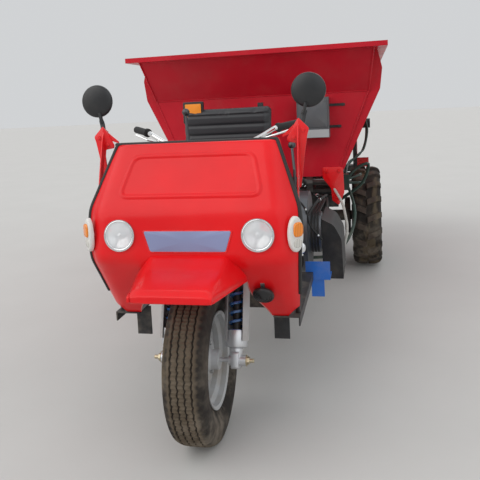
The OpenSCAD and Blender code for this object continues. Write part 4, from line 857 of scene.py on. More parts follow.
def build_nose():
    """The nose's wall, and the roll along its lip: a round section swept along a softened line."""
    piece("nose_skin", shell(nose_grid(), sizes().skin), finish("fairing_enamel"))
    lip = np.array([(-0.220, -0.112, NOSE_LIP), (-0.150, -0.398, NOSE_LIP), (0.150, -0.398, NOSE_LIP),
                    (0.220, -0.112, NOSE_LIP)])
    path = place(spread(soften(lip, 0.02, 6), 0.02))
    piece("nose_lip_roll", swept(path, ring(0.0045, 10)), finish("fairing_enamel"))


def build_trims():
    """Rubber edging on the rear and top edges, a slit tube of the fairing's own border; and the pale cut
    edge round the wheel opening."""
    grid = fairing_grid()
    rim = np.concatenate([grid[10:, 0], grid[-1, 1:-1], grid[:9:-1, -1]])
    keep = np.concatenate([[True], np.linalg.norm(np.diff(rim, axis=0), axis=1) > 0.002])
    piece("fairing_edging", swept(rim[keep], ring(sizes().trim, 10)), finish("trim_rubber"))
    arch = soften(np.array(ARCH), 0.034, 6, True)
    arch = arch[(arch[:, 1] > 0.508) & (arch[:, 1] < 0.705)]
    for name, side in (("left", 1), ("right", -1)):
        line = arch[arch[:, 0] * side > 0]
        line = line[np.argsort(line[:, 1])]
        path = place(np.stack([line[:, 0], face_y(line[:, 1]) + 0.002, line[:, 1]], 1))
        piece("arch_edge_" + name, swept(spread(path, 0.02), ring(0.0032, 8)), finish("cut_edge"))


# Corners of the blank plate on the lamp band, across and up from the floor
PLATE = [(-0.150, 0.823), (0.150, 0.823), (0.174, 0.902), (-0.176, 0.902)]


def build_plate():
    """A thin blank plate in a raised red frame, laid on the band."""
    frame_matrix = band_frame(0, LAMP_Z)
    outline = np.array([(-x, z - LAMP_Z) for x, z in PLATE])
    outline = spread(soften(outline * [-1, 1], 0.008, 4, True), 0.02, True)
    plate = slab(outline, [(h, z + 0.0005) for h, z in edge_steps(0.003, 0.001)], frame_matrix)
    piece("badge_plate", plate, finish("plate_blue"))
    border = np.concatenate([outline * 1.02, np.zeros((len(outline), 1))], 1)
    piece("badge_border", swept(moved(border, frame_matrix), ring(0.0035, 8), True), finish("bracket_enamel"))


class SPREADER_OT_fairing(bpy.types.Operator):
    """Make the moulded fairing with its bead, nose, edging and blank plate"""
    bl_idname = "spreader.fairing"
    bl_label = "Fairing and nose"

    def execute(self, context):
        build_fairing()
        build_bead()
        build_nose()
        build_trims()
        build_plate()
        return {"FINISHED"}


# Lamps, horn and mirrors

def build_headlamps():
    """A rolled chrome rim, a stepped reflector ring and the bulb's shield on each headlamp."""
    r = sizes().lamp
    a = np.linspace(-0.6 * np.pi, 0.75 * np.pi, 13)
    rim = [(r - 0.006 + 0.006 * math.cos(t), 0.004 + 0.006 * math.sin(t)) for t in a] + [(r - 0.011, 0.006),
                                                                                     (r - 0.011, 0.0008)]
    shield = [(POLE, -0.030), (0.009, -0.030), (0.009, -0.022), (0.013, -0.018), (0.013, -0.006),
              (0.010, -0.001),
              (0.004, 0.001), (POLE, 0.0012)]
    for name, side in (("left", 1), ("right", -1)):
        at = band_frame(side * LAMP_X, LAMP_Z)
        piece("headlamp_rim_" + name, turned(rim, at, 72), finish("lamp_chrome"))
        piece("headlamp_bulb_" + name, turned(shield, at, 32), finish("lamp_chrome"))


SIGNAL_Z = 0.885
SIGNAL_TURN = math.radians(47)


def signal_frame():
    """A frame on the left chamfer, its Z pointing out of the face."""
    out = np.array([math.sin(SIGNAL_TURN), -math.cos(SIGNAL_TURN), 0])
    spot = [(LEVELS[1, 2] + LEVELS[2, 4]) / 2, (LEVELS[1, 1] + LEVELS[2, 3]) / 2, SIGNAL_Z]
    return frame_at(place(spot), out)


def oval(half_w, half_h, power=2.4, count=56):
    """A superellipse: |x / w| ** power + |y / h| ** power = 1."""
    a = np.linspace(0, 2 * np.pi, count, endpoint=False)
    c, s = np.cos(a), np.sin(a)
    return np.stack([half_w * np.sign(c) * np.abs(c) ** (2 / power),
                     half_h * np.sign(s) * np.abs(s) ** (2 / power)], 1)


def dome(radius, low, high, count=7):
    """Insets and heights of a shallow dome over a short wall."""
    a = np.linspace(0, np.pi / 2, count)
    return [(0, low)] + [(radius * (1 - math.cos(t)), low + (high - low) * math.sin(t)) for t in a]


def build_signals():
    """White oval housings on a stalk with a clear face, and the amber block in their upper half."""
    at = signal_frame()
    wall = [(0.004, 0.006), (0, 0.009), (0, 0.017)] + dome(0.010, 0.017, 0.026)[1:]
    housing = slab(oval(0.034, 0.068, 2.05), wall, at)
    stalk = turned([(POLE, -0.002), (0.010, -0.002), (0.013, 0.006), (0.013, 0.010), (POLE, 0.010)], at, 24)
    both_housings = both(joined(housing, stalk))
    piece("signal_housings", both_housings, finish("signal_white"),
          stands_for=("turn_signals",), sharp=50)
    amber = slab(oval(0.024, 0.029, 3.0) + [0.004, 0.018], dome(0.006, 0.020, 0.0325), at)
    piece("signal_ambers", both(amber), finish("signal_amber"), sharp=50)
    lens = slab(oval(0.022, 0.018, 2.4) + [0.001, -0.034], dome(0.006, 0.020, 0.0285), at)
    piece("signal_lenses", both(lens), finish("signal_clear"), sharp=50)


def build_horn():
    """A disc horn: ribbed shell turned from one profile, on a folded strap."""
    across, z = HORN_AT
    slope = np.array([0, LEVELS[0, 1] - LEVELS[1, 1], LEVELS[0, 0] - LEVELS[1, 0]])
    at = frame_at(place([across, face_y(z), z]), np.cross(slope, [1, 0, 0]), -slope)
    r = [POLE, 0.011, 0.011, 0.041, 0.043, 0.041, 0.036, 0.034, 0.028, 0.026, 0.018, 0.016, 0.009, POLE]
    h = [0.002, 0.002, 0.013, 0.014, 0.019, 0.027, 0.031, 0.029, 0.033, 0.031, 0.036, 0.034, 0.039, 0.039]
    piece("horn_disc", turned(np.stack([r, h], 1), at, 48), finish("horn_black"),
          stands_for=("horn",), sharp=45)
    strap = soften(np.array([(0, 0.052, 0.002), (0, 0.030, 0.003), (0, 0.012, 0.008), (0, 0, 0.010)]), 0.006,
                   4)
    band = np.array([(-0.008, -0.0012), (0.008, -0.0012), (0.008, 0.0012), (-0.008, 0.0012)])
    piece("horn_strap", swept(moved(strap, at), band), finish("lever_steel"))


# Outline of a mirror bracket's front face, across and up
BRACKET = [(0.418, 1.312), (0.460, 1.268), (0.453, 1.245), (0.441, 1.179), (0.430, 1.095), (0.420, 1.030),
           (0.402, 1.030), (0.407, 1.095), (0.414, 1.180), (0.410, 1.211), (0.372, 1.216), (0.370, 1.230),
           (0.406, 1.294)]


def build_brackets():
    """The front face of the folded mirror brackets, a plate with rounded corners, and its two bolts."""
    outline = spread(soften(np.array(BRACKET), 0.006, 3, True), 0.02, True)
    middle = np.array([0.418, 1.235])
    at = frame_at(place([middle[0], 0.1035, middle[1]]), (0, -1, 0))
    rows = [(np.tile(middle, (len(outline), 1)), 0.0)] + [
        (outline - inset * unit(outline - middle), height) for inset, height in edge_steps(0.005, 0.0012, 2)
    ] + [(np.tile(middle, (len(outline), 1)), 0.005)]
    grid = np.array([np.concatenate([p - middle, np.full((len(p), 1), h)], 1) for p, h in rows])
    plate = moved(grid.reshape(-1, 3), at), quads(len(grid), len(outline), False, True)
    spots = place([(0.398, 0.0985, 1.232), (0.436, 0.0985, 1.262)])
    bolts = scattered(hex_head(0.007, 0.006), facing(spots, (0, -1, 0)))
    piece("mirror_bracket_faces", both(joined(plate, bolts)), finish("bracket_enamel"))


MIRROR = np.array([0.458, 0.159, 1.420])
MIRROR_R = 0.070
PIVOT = np.array([0.426, 0.125, 1.270])


def build_mirrors():
    """A domed shell with a rolled rim, its neck and the bent stay down to the pivot."""
    a = np.linspace(0, np.pi / 2, 12)
    back = [(max(POLE, MIRROR_R * math.sin(t)), 0.008 + 0.018 * math.cos(t)) for t in a]
    profile = [(POLE, 0.0045), (MIRROR_R - 0.0055, 0.0045), (MIRROR_R - 0.0055, 0.0005),
               (MIRROR_R - 0.001, 0.0005),
               (MIRROR_R + 0.0005, 0.003)] + back[::-1]
    at = frame_at(place(MIRROR), (0, -1, 0))
    shell_piece = turned(profile, at, 64)
    neck = np.array([MIRROR + [-0.012, -0.016, -0.050], MIRROR + [-0.018, -0.018, -0.085],
                     PIVOT + [0.010, 0.018, 0.050],
                     PIVOT + [0.0, 0.0, 0.0]])
    stay = swept(place(spread(soften(neck, 0.016, 5), 0.01)), ring(0.0075, 12, 1.5))
    pin = [(POLE, -0.012), (0.012, -0.012), (0.014, -0.009), (0.014, 0.009), (0.012, 0.012), (POLE, 0.012)]
    knuckle = turned(pin, frame_at(place(PIVOT), (1, 0, 0)), 32)
    piece("mirror_shells", both(joined(shell_piece, stay, knuckle)), finish("mirror_black"),
          stands_for=("mirrors",), sharp=50)


class SPREADER_OT_lamps(bpy.types.Operator):
    """Make the headlamp rims, turn signals, horn and mirrors"""
    bl_idname = "spreader.lamps"
    bl_label = "Lamps, horn and mirrors"

    def execute(self, context):
        build_headlamps()
        build_signals()
        build_horn()
        build_brackets()
        build_mirrors()
        return {"FINISHED"}


# Seat

def inflate(obj, voxel, pressure, cap):
    """Fills a closed cover: voxel remesh, twenty frames of pressure without gravity, and no point may move
    further than the cap."""
    modifier = obj.modifiers.new("even", "REMESH")
    modifier.mode = "VOXEL"
    modifier.voxel_size = voxel
    keep_modifiers(obj)
    start = np.empty(len(obj.data.vertices) * 3)
    obj.data.vertices.foreach_get("co", start)
    cloth = obj.modifiers.new("cover", "CLOTH")
    cloth.settings.use_pressure = True
    cloth.settings.uniform_pressure_force = pressure
    cloth.settings.effector_weights.gravity = 0
    cloth.settings.quality = 4
    cloth.point_cache.frame_start = 1
    cloth.point_cache.frame_end = 20
    for number in range(1, 21):
        bpy.context.scene.frame_set(number)
    keep_modifiers(obj)
    bpy.context.scene.frame_set(1)
    end = np.empty_like(start)
    obj.data.vertices.foreach_get("co", end)
    move = (end - start).reshape(-1, 3)
    size = np.linalg.norm(move, axis=1, keepdims=True)
    move *= np.minimum(1, cap / np.maximum(size, 1e-9))
    obj.data.vertices.foreach_set("co", (start.reshape(-1, 3) + move).ravel())
    obj.data.update()


def pad(name, low, high, radius, stands_for):
    """A padded piece that starts a little inside its solid and swells into it."""
    gap = sizes().puff * 0.6
    obj = piece(name, pillow(np.array(low) + gap, np.array(high) - gap, radius, 24), finish("seat_vinyl"),
                stands_for=stands_for, sharp=80)
    inflate(obj, 0.006, 4.0, sizes().puff)
    obj.data.polygons.foreach_set("use_smooth", np.ones(len(obj.data.polygons), bool))
    subdivision = obj.modifiers.new("smooth", "SUBSURF")
    subdivision.levels = subdivision.render_levels = 1
    return obj


def sew(obj, lines, axis, depth, width, face):
    """Sews channels into one face: points near a line sink by depth * exp(-(d / width)^2)."""
    co = np.empty(len(obj.data.vertices) * 3)
    obj.data.vertices.foreach_get("co", co)
    co = co.reshape(-1, 3)
    normal = np.empty(len(obj.data.vertices) * 3)
    obj.data.vertices.foreach_get("normal", normal)
    normal = normal.reshape(-1, 3)
    sink = sum(np.exp(-((co[:, axis] - line) / width) ** 2) for line in lines)
    toward = np.clip(normal @ np.asarray(face, float), 0, 1)
    co -= normal * (depth * sink * toward)[:, None]
    obj.data.vertices.foreach_set("co", co.ravel())
    obj.data.update()


def build_seat():
    """The padded cushion and backrest, with their sewn channels."""
    low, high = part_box("seat_cushion")
    cushion = pad("seat_pad", low, high, 0.030, ("seat_cushion",))
    sew(cushion, np.linspace(low[1], high[1], 5)[1:-1], 1, 0.006, 0.007, (0, 0, 1))
    low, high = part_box("seat_back")
    back = pad("back_pad", low, high, 0.030, ("seat_back",))
    sew(back, np.linspace(low[2], high[2], sizes().pleats + 1)[1:-1], 2, 0.009, 0.007, (0, -1, 0))


def build_piping():
    """A pale welt round the cushion's top edge, and the blank orange tag in its black holder."""
    low, high = (np.array(c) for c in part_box("seat_cushion"))
    inset, z = 0.008, high[2] - 0.016
    corners = np.array([(low[0] + inset, low[1] + inset, z), (high[0] - inset, low[1] + inset, z),
                        (high[0] - inset, high[1] - inset, z), (low[0] + inset, high[1] - inset, z)])
    path = spread(soften(corners, 0.035, 6, True), 0.02, True)
    piece("seat_welt", swept(path, ring(0.003, 8), True), finish("piping"))
    back_low = np.array(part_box("seat_back")[0])
    spot = [back_low[0] + 0.079, back_low[1] + 0.012, back_low[2] + 0.302]
    at = frame_at(spot, (0, -1, 0.06))
    square = spread(soften(np.array([(-0.047, -0.048), (0.047, -0.048), (0.047, 0.048), (-0.047, 0.048)]),
                           0.006, 4,
                           True), 0.02, True)
    piece("tag_holder", slab(square * 1.28, [(h, z - 0.022) for h, z in edge_steps(0.024, 0.003)], at),
          finish("horn_black"))
    piece("blank_tag", slab(square, [(h, z + 0.0015) for h, z in edge_steps(0.004, 0.001)], at),
          finish("tag_orange"))


class SPREADER_OT_seat(bpy.types.Operator):
    """Make the padded seat, its backrest and the tag"""
    bl_idname = "spreader.seat"
    bl_label = "Seat"

    def execute(self, context):
        build_seat()
        build_piping()
        return {"FINISHED"}


# Tyres

def carcass(radius, width, rim):
    """Half of a tyre's section as (radius, across) points, softened, from the bead to the crown."""
    points = np.array([(rim + 0.0005, 0.001 - width * 0.36), (rim + 0.014, 0.001 - width * 0.37),
                       ((radius + rim) / 2 - 0.014, -width * 0.515),
                       ((radius + rim) / 2 + 0.022, -width * 0.52),
                       (radius - width * 0.07, -width * 0.45), (radius, -width * 0.27), (radius, 0.0)])
    return spread(soften(points, [0, 0.005, 0.014, 0.014, 0.012, 0.012, 0], 5), 0.006)


def wheel_surface(grid_r, grid_x, angle, centre):
    """Grids of radius, place across and angle turned about X: y = r sin a, z = r cos a."""
    grid = np.stack([grid_x, grid_r * np.sin(angle), grid_r * np.cos(angle)], axis=-1) + centre
    return grid.reshape(-1, 3), quads(*grid.shape[:2], True, True)


GROOVES = (-0.0405, -0.0135, 0.0135, 0.0405)
GROOVE_HALF = 0.0034
RIB_WAVES = 66


def build_front_tyre():
    """Ribbed tyre: the section is cut by four grooves whose walls swing sideways as a zigzag of the angle,
    and shoulder notches take a pulse of the angle out of the radius."""
    radius = FRONT_R
    crown = carcass(radius, FRONT_TYRE_W, FRONT_RIM_R)
    half = crown[crown[:, 1] < -0.048]
    tread_x = [-0.0465]
    for g in GROOVES:
        tread_x += [g - GROOVE_HALF, g - 0.6 * GROOVE_HALF, g + 0.6 * GROOVE_HALF, g + GROOVE_HALF]
        tread_x += [g + 0.0135] if g != GROOVES[-1] else [0.0465]
    tread_x = np.array(tread_x)
    tread_r = np.interp(-np.abs(tread_x), crown[:, 1], crown[:, 0])
    deep = np.min(np.abs(tread_x[:, None] - np.array(GROOVES)), axis=1) < 0.8 * GROOVE_HALF
    tread_r = tread_r - sizes().groove * deep
    x = np.concatenate([half[:, 1], tread_x, -half[::-1, 1]])
    r = np.concatenate([half[:, 0], tread_r, half[::-1, 0]])
    a = np.linspace(0, 2 * np.pi, RIB_WAVES * 6, endpoint=False)[:, None]
    phase = (a * RIB_WAVES / (2 * np.pi)) % 1
    zigzag = 0.0022 * (4 * np.abs(phase - 0.5) - 1)
    inside = np.clip((0.052 - np.abs(x)) / 0.01, 0, 1)[None]
    grid_x = x[None] + zigzag * inside
    notch = np.where((phase > 0.3) & (phase < 0.7), 1.0, 0.0)
    shoulder = np.clip(1 - np.abs(np.abs(x) - 0.062) / 0.012, 0, 1)[None]
    lip = np.min(np.abs(x[:, None] - np.array(GROOVES)), axis=1)
    lip = ((lip > 0.9 * GROOVE_HALF) & (lip < 1.1 * GROOVE_HALF))[None]
    sipe = np.where((phase < 0.17) | ((phase > 0.49) & (phase < 0.67)), 1.0, 0.0)
    grid_r = r[None] - 0.004 * notch * shoulder - 0.0045 * sipe * lip
    surface = wheel_surface(grid_r, grid_x, a + 0 * grid_x, place([0, 0, radius]))
    piece("front_tyre_tread", surface, finish("front_rubber"), "front_wheel", ("front_tyre",),
          40)


# Where lug flanks and tops stand in one pitch, as shares of it, and which side's lug is raised there
LUG_PHASES = np.array([0.0, 0.045, 0.20, 0.355, 0.40, 0.5, 0.545, 0.70, 0.855, 0.90])
LUG_LEFT = np.array([0, 1, 1, 1, 0, 0, 0, 0, 0, 0.0])


def build_rear_tyre(name, side):
    """Lugged tyre: grid columns lean with the lugs, angle = phase + lean * |x|, so a lug is raised by whole
    columns; its height fades out down the shoulder."""
    low, high = (np.array(c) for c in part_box("rear_tyre_" + name))
    centre = (low + high) / 2
    radius, width = (high[2] - low[2]) / 2, REAR_TYRE_W
    half = carcass(radius - sizes().lug, width, REAR_RIM_R)
    half = half[half[:, 1] < -0.004]
    x = np.concatenate([half[:, 1], [-0.002, 0.002], -half[::-1, 1]])
    r = np.concatenate([half[:, 0], np.full(2, radius - sizes().lug), half[::-1, 0]])
    count = sizes().lugs
    phase = (np.arange(count)[:, None] + LUG_PHASES[None]).reshape(-1, 1) * 2 * np.pi / count
    lean = 0.045 / (radius * 0.103)
    angle = phase + lean * np.clip(np.abs(x), 0, 0.103)[None]
    left = np.tile(LUG_LEFT, count)[:, None]
    right = np.tile(np.roll(LUG_LEFT, 5), count)[:, None]
    raised = np.where(x[None] < 0, left, right)
    near_middle = np.clip((np.abs(x) - 0.001) / 0.004, 0, 1)
    fade = np.clip((r - (radius - 0.085)) / 0.030, 0, 1)
    slant = np.where(r > radius - 0.06, 1, 0.7)
    lift = raised * (sizes().lug * near_middle * fade * slant)[None]
    slope_r, slope_x = np.gradient(r), np.gradient(x)
    out_r, out_x = slope_x, -slope_r
    size = np.hypot(out_r, out_x)
    out_r, out_x = np.abs(out_r / size), out_x / size
    grid_r = np.minimum(r[None] + lift * np.maximum(out_r, 0.25)[None], radius)
    grid_x = np.clip(x[None] + 0.6 * lift * out_x[None], -width * 0.535, width * 0.535)
    surface = wheel_surface(grid_r, grid_x * side, angle + 0 * grid_x, centre)
    piece("rear_tread_" + name, surface, finish("rear_rubber"), "rear_wheel_" + name,
          ("rear_tyre_" + name,), 40)


class SPREADER_OT_tyres(bpy.types.Operator):
    """Make the ribbed front tyre and the lugged rear tyres"""
    bl_idname = "spreader.tyres"
    bl_label = "Tyres"

    def execute(self, context):
        build_front_tyre()
        build_rear_tyre("left", 1)
        build_rear_tyre("right", -1)
        return {"FINISHED"}


# Fork, hopper and engine details

STEER_AXIS = (0.0, 0.342, 0.940)
LEG_X = 0.138


def leg_frame():
    """A frame on the left fork leg's foot, on the axle: X outwards, Z up the leg."""
    return frame_at(place([LEG_X, 0, FRONT_R]), STEER_AXIS, (0, 1, 0))


def build_fork_legs():
    """Sliders with their spring cups, the lugs that clamp the axle, and the axle: profiles turned about each
    leg and about the axle."""
    leg = leg_frame()
    slider = turned([(POLE, 0.010), (0.0265, 0.010), (0.027, 0.046), (0.043, 0.054), (0.0455, 0.060),
                     (0.0455, 0.119), (0.0445, 0.1205), (0.042, 0.1205), (0.042, 0.113), (POLE, 0.113)], leg,
                    48)
    outline = soften(np.array([(-0.034, -0.034), (0.034, -0.034), (0.034, 0.036), (-0.034, 0.036)]), 0.014, 4,
                     True)
    across = leg @ np.array([[0, 0, 1, 0], [1, 0, 0, 0], [0, 1, 0, 0], [0, 0, 0, 1.0]])
    lug = slab(outline, [(h, z - 0.016) for h, z in edge_steps(0.032, 0.003, 2)], across)
    axle = frame_at(place([0, 0, FRONT_R]), (1, 0, 0))
    boss = turned([(POLE, 0.108), (0.020, 0.108), (0.022, 0.110), (0.022, 0.180), (0.020, 0.182),
                   (POLE, 0.182)], axle, 40)
    spindle = turned([(POLE, -LEG_X), (0.009, -LEG_X), (0.009, LEG_X), (POLE, LEG_X)], axle, 24)
    piece("fork_slider_legs", joined(both(joined(slider, lug, boss)), spindle), finish("slider_alloy"),
          "steered_fork",
          ("fork_sliders",))


def build_guards():
    """Pale guards round both fork springs: an arc of 282 degrees carried up the leg, open in front so that
    the coils show."""
    half_arc = math.radians(141)
    a = np.linspace(-half_arc, half_arc, 35)
    outer = np.stack([0.052 * np.sin(a), 0.052 * np.cos(a)], 1)
    inner = np.stack([0.0495 * np.sin(a), 0.0495 * np.cos(a)], 1)[::-1]
    section = np.concatenate([outer, inner])
    heights = np.linspace(0.078, 0.345, 9)
    grid = np.stack([np.concatenate([section, np.full((len(section), 1), h)], 1) for h in heights])
    n = len(section)
    strip = np.arange(len(a) - 1)
    ends = [np.stack([strip, strip + 1, n - 2 - strip, n - 1 - strip], 1) + k * n for k in (0, len(grid) - 1)]
    surface = moved(grid.reshape(-1, 3), leg_frame()), np.concatenate(
        [quads(len(grid), n, False, True), ends[0], ends[1][:, ::-1]])
    piece("fork_guards", both(surface), finish("guard_grey"), "steered_fork")


def build_axle_nuts():
    """The bright nuts and stub ends of the front axle."""
    nuts = scattered(hex_head(0.016, 0.014), [frame_at(place([AXLE_TIP - 0.001, 0, FRONT_R]), (1, 0, 0))])
    stub = turned([(POLE, 0), (0.0085, 0), (0.0085, 0.030), (0.007, 0.032), (POLE, 0.032)],
                  frame_at(place([AXLE_TIP - 0.001, 0, FRONT_R]), (1, 0, 0)), 20)
    piece("axle_nuts", both(joined(nuts, stub)), finish("brass"), "steered_fork")


def build_wheel_nuts():
    """Six nuts and a valve stem on each rear wheel, and five nuts on each face of the front hub."""
    for name, side in (("left", 1), ("right", -1)):
        low, high = (np.array(c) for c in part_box("rear_tyre_" + name))
        centre = (low + high) / 2
        a = np.radians(np.arange(6) * 60)
        spots = centre + np.stack([np.full(6, 0.0465 * side), -0.080 * np.sin(a), 0.080 * np.cos(a)], 1)
        nuts = scattered(hex_head(0.0135, 0.016), facing(spots, (side, 0, 0)))
        valve = swept(centre + np.array([[0.020 * side, 0.168, 0], [0.044 * side, 0.166, 0],
                                         [0.062 * side, 0.158, 0]]),
                      ring(0.004, 10))
        piece("wheel_nuts_" + name, joined(nuts, valve), finish("disc_steel"), "rear_wheel_" + name)
    a = np.radians(np.arange(5) * 72 + 18)
    for name, side, reach in (("outer", 1, 0.0235), ("inner", -1, 0.034)):
        spots = place(np.stack([np.full(5, side * reach), 0.064 * np.sin(a), FRONT_R + 0.064 * np.cos(a)], 1))
        piece("front_nuts_" + name, scattered(hex_head(0.009, 0.010), facing(spots, (side, 0, 0))),
              finish("disc_steel"), "front_wheel")


# The hopper's outer corner from its foot over the fold to the rim
CORNER = np.array([(0.489, 1.690, 0.884), (0.705, 1.690, 1.421), (0.743, 1.477, 1.692)])


def build_hopper():
    """Weld beads along the corners and folds whose radius ripples along their length, the red hangers with
    their bolts, and the control box's straps."""
    def bead(points, radius=0.0042):
        """A ring swept along the points, its radius times 1 + 0.22 * sin(1.9 n) at the nth place."""
        path = spread(place(points), 0.006)
        surface, faces = swept(path, ring(radius, 8))
        ripple = 1 + 0.22 * np.sin(np.arange(len(path) + 2) * 1.9)[:, None, None]
        middle = np.concatenate([path[:1], path, path[-1:]])[:, None]
        grid = surface.reshape(len(path) + 2, 8, 3)
        return (middle + (grid - middle) * ripple).reshape(-1, 3), faces
    side_fold = bead([(0.706, 1.694, 1.421), (0.706, 3.896, 1.421)])
    rear_corner = bead([(0.489, 3.899, 0.884), (0.705, 3.899, 1.421), (0.744, 3.899, 1.674)])
    beads = joined(both(joined(bead(CORNER, 0.0055), side_fold, rear_corner)),
                   bead([(-0.700, 1.689, 1.421), (0.700, 1.689, 1.421)]))
    piece("hopper_welds", beads, finish("hopper_enamel"))
    hanger = soften(np.array([(0.400, 0.940), (0.532, 0.940), (0.537, 0.770), (0.500, 0.690), (0.458, 0.720),
                              (0.452, 0.800), (0.400, 0.870)]), 0.012, 4, True)
    at = frame_at(place([0, 1.690, 0]), (0, -1, 0))
    flat = slab(hanger, edge_steps(0.008, 0.0015, 2), at)
    bolts = scattered(hex_head(0.010, 0.009), facing(place([(0.425, 1.682, 0.915), (0.505, 1.682, 0.915),
                                                            (0.498, 1.682, 0.740)]), (0, -1, 0)))
    piece("hopper_hangers", both(joined(flat, bolts)), finish("bracket_enamel"))
    straps = joined(brick((0.452, 1.684, 1.334), (0.556, 1.690, 1.350)),
                    brick((0.452, 1.684, 1.196), (0.530, 1.690, 1.212)),
                    brick((0.452, 1.640, 1.196), (0.458, 1.690, 1.212)))
    heads = scattered(hex_head(0.007, 0.006),
                      facing([(0.540, 1.684, 1.342), (0.514, 1.684, 1.204)], (0, -1, 0)))
    verts, faces = joined(straps, heads)
    piece("box_straps", (place(verts), faces), finish("chassis_black"))


def build_box():
    """The control box's paler lower band (its lit part below painted shadow), its raised lid and four screws.
    """
    low, high = (np.array(c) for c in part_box("control_box"))
    y = low[1]
    # Lit lower part of the box, in its own light grey, below the painted shadow
    band = brick((low[0] + 0.001, y - 0.002, low[2] + 0.002), (high[0] - 0.001, y + 0.004, low[2] + 0.052))
    piece("box_lit_band", band, finish("rim_silver"))
    # The raised lid, in the same dark grey of painted shadow
    lid = slab(soften(np.array([(-0.090, -0.086), (0.090, -0.086), (0.090, 0.090), (-0.090, 0.090)]), 0.010,
                      4, True),
               edge_steps(0.005, 0.0015, 2),
               frame_at([(low[0] + high[0]) / 2, y, (low[2] + high[2]) / 2 + 0.026],
                                                      (0, -1, 0)))
    spots = [(low[0] + dx, y - 0.004, low[2] + dz) for dx in (0.018, 0.182) for dz in (0.072, 0.232)]
    screws = scattered(hex_head(0.005, 0.004), facing(spots, (0, -1, 0)))
    piece("box_lid", joined(lid, screws), finish("box_shadow_grey"))


def build_chain():
    """Link plates and pin heads along both runs of the floor chains, one link copied by an array."""
    low, high = (np.array(c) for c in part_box("floor_conveyor"))
    outline = soften(np.array([(-0.017, -0.008), (0.017, -0.008), (0.017, 0.008), (-0.017, 0.008)]), 0.0075,
                     3, True)
    link = slab(outline, edge_steps(0.0035, 0.001, 1), np.eye(4))
    pin = turned([(POLE, 0), (0.004, 0), (0.004, 0.006), (POLE, 0.006)], np.eye(4), 10)
    link = joined(link, (pin[0] + [0.011, 0, 0], pin[1]), (pin[0] - [0.011, 0, 0], pin[1]))
    stations = np.arange(low[1] + 0.085, high[1] - 0.085, 0.038)
    spots = []
    for x in (-CHAIN_X, CHAIN_X):
        for dx in (-0.0135, 0.0135):
            for z, up in ((high[2] - 0.0105, 1), (low[2] + 0.0105, -1)):
                spots += [frame_at((x + dx, y, z), (0, 0, up), (1, 0, 0)) for y in stations]
    piece("chain_links", scattered(link, spots), finish("chain_steel"))


def build_engine():
    """Bolts of the covers, the fuel filter and its pipes, the overflow hose and the radiator's fins."""
    top = place([(x, y, 0.8915) for x in (-0.104, 0.104) for y in (0.880, 0.980, 1.080, 1.180)])
    sides = place([(0.1835, y, z) for y in (0.882, 0.948) for z in (0.763, 0.817)]
                  + [(0.1795, y, z) for y in (0.713, 0.777) for z in (0.614, 0.706)])
    head = place([(x, 0.5805, z) for x in (-0.078, 0.078) for z in (0.606, 0.664)])
    bolts = joined(scattered(hex_head(0.0075, 0.008), facing(top, (0, 0, 1), (0, 1, 0))),
                   scattered(hex_head(0.0065, 0.007), facing(sides, (1, 0, 0))),
                   scattered(hex_head(0.0065, 0.007), facing(head, (0, -1, 0))))
    piece("engine_bolts", bolts, finish("lever_steel"))
    canister = turned([(POLE, 0), (0.026, 0), (0.031, 0.006), (0.033, 0.010), (0.033, 0.088), (0.036, 0.090),
                       (0.036, 0.102), (0.024, 0.106), (0.012, 0.108), (0.012, 0.116), (POLE, 0.118)],
                      frame_at(place([0.205, 0.655, 0.610]), (0, 0, 1), (0, 1, 0)), 40)
    arm = brick((0.120, 0.640, 0.702), (0.200, 0.670, 0.710))
    piece("fuel_filter", joined(canister, (place(arm[0]), arm[1])), finish("slider_alloy"))
    line = soften(np.array([(0.168, 0.915, 0.829), (0.168, 0.915, 0.880), (0.135, 0.760, 0.905),
                            (0.100, 0.640, 0.850),
                            (0.085, 0.600, 0.744)]), 0.03, 6)
    feed = soften(np.array([(0.205, 0.655, 0.726), (0.205, 0.655, 0.770), (0.200, 0.790, 0.790),
                            (0.182, 0.900, 0.790)]), 0.03, 6)
    piece("fuel_pipes", joined(swept(place(spread(line, 0.01)), ring(0.0038, 10)),
                               swept(place(spread(feed, 0.01)), ring(0.0048, 10))),
          finish("lever_steel"))
    pale = soften(np.array([(0.470, 1.695, 0.800), (0.530, 1.560, 0.720), (0.562, 1.390, 0.590),
                            (0.530, 1.340, 0.470),
                            (0.445, 1.480, 0.420), (0.425, 1.520, 0.420)]), 0.06, 8)
    piece("overflow_hose", swept(place(spread(pale, 0.012)), ring(0.0085, 12)), finish("pale_hose"))
    low, high = (np.array(c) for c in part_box("radiator"))
    fins = np.arange(low[0] + 0.014, high[0] - 0.012, 0.0075)
    blade = brick((-0.0007, -0.0035, low[2] + 0.030), (0.0007, 0.0035, high[2] - 0.075))
    spots = np.tile(np.eye(4), (2 * len(fins), 1, 1))
    spots[:, 0, 3] = np.tile(fins, 2)
    spots[:, 1, 3] = np.repeat([low[1] - 0.0025, high[1] + 0.0025], len(fins))
    piece("radiator_fins", scattered(blade, spots), finish("gear_iron"))


# Section of the belt guard from its inner top edge over the outer face to its foot, across and up
GUARD = np.array([(0.436, 0.742), (0.500, 0.708), (0.540, 0.630), (0.545, 0.415)])


def build_belt_guard():
    """A black folded sheet over the front of the belt run: its section carried along the machine, and a front
    plate of the same outline."""
    rows = spread(soften(GUARD, 0.02, 4), 0.02)
    y = spread(np.array([[0.932], [1.330]]), 0.02)[:, 0]
    grid = np.stack([rows[None, :, 0] + 0 * y[:, None], y[:, None] + 0 * rows[None, :, 0],
                     rows[None, :, 1] + 0 * y[:, None]], -1)
    front = np.concatenate([rows, [(0.436, 0.415)]])
    plate = slab(front, [(0, 0), (0, 0.003)], frame_at(place([0, 0.932, 0]), (0, -1, 0)))
    piece("belt_guard", joined(shell(place(grid)[:, ::-1], 0.0025), plate), finish("guard_black"))


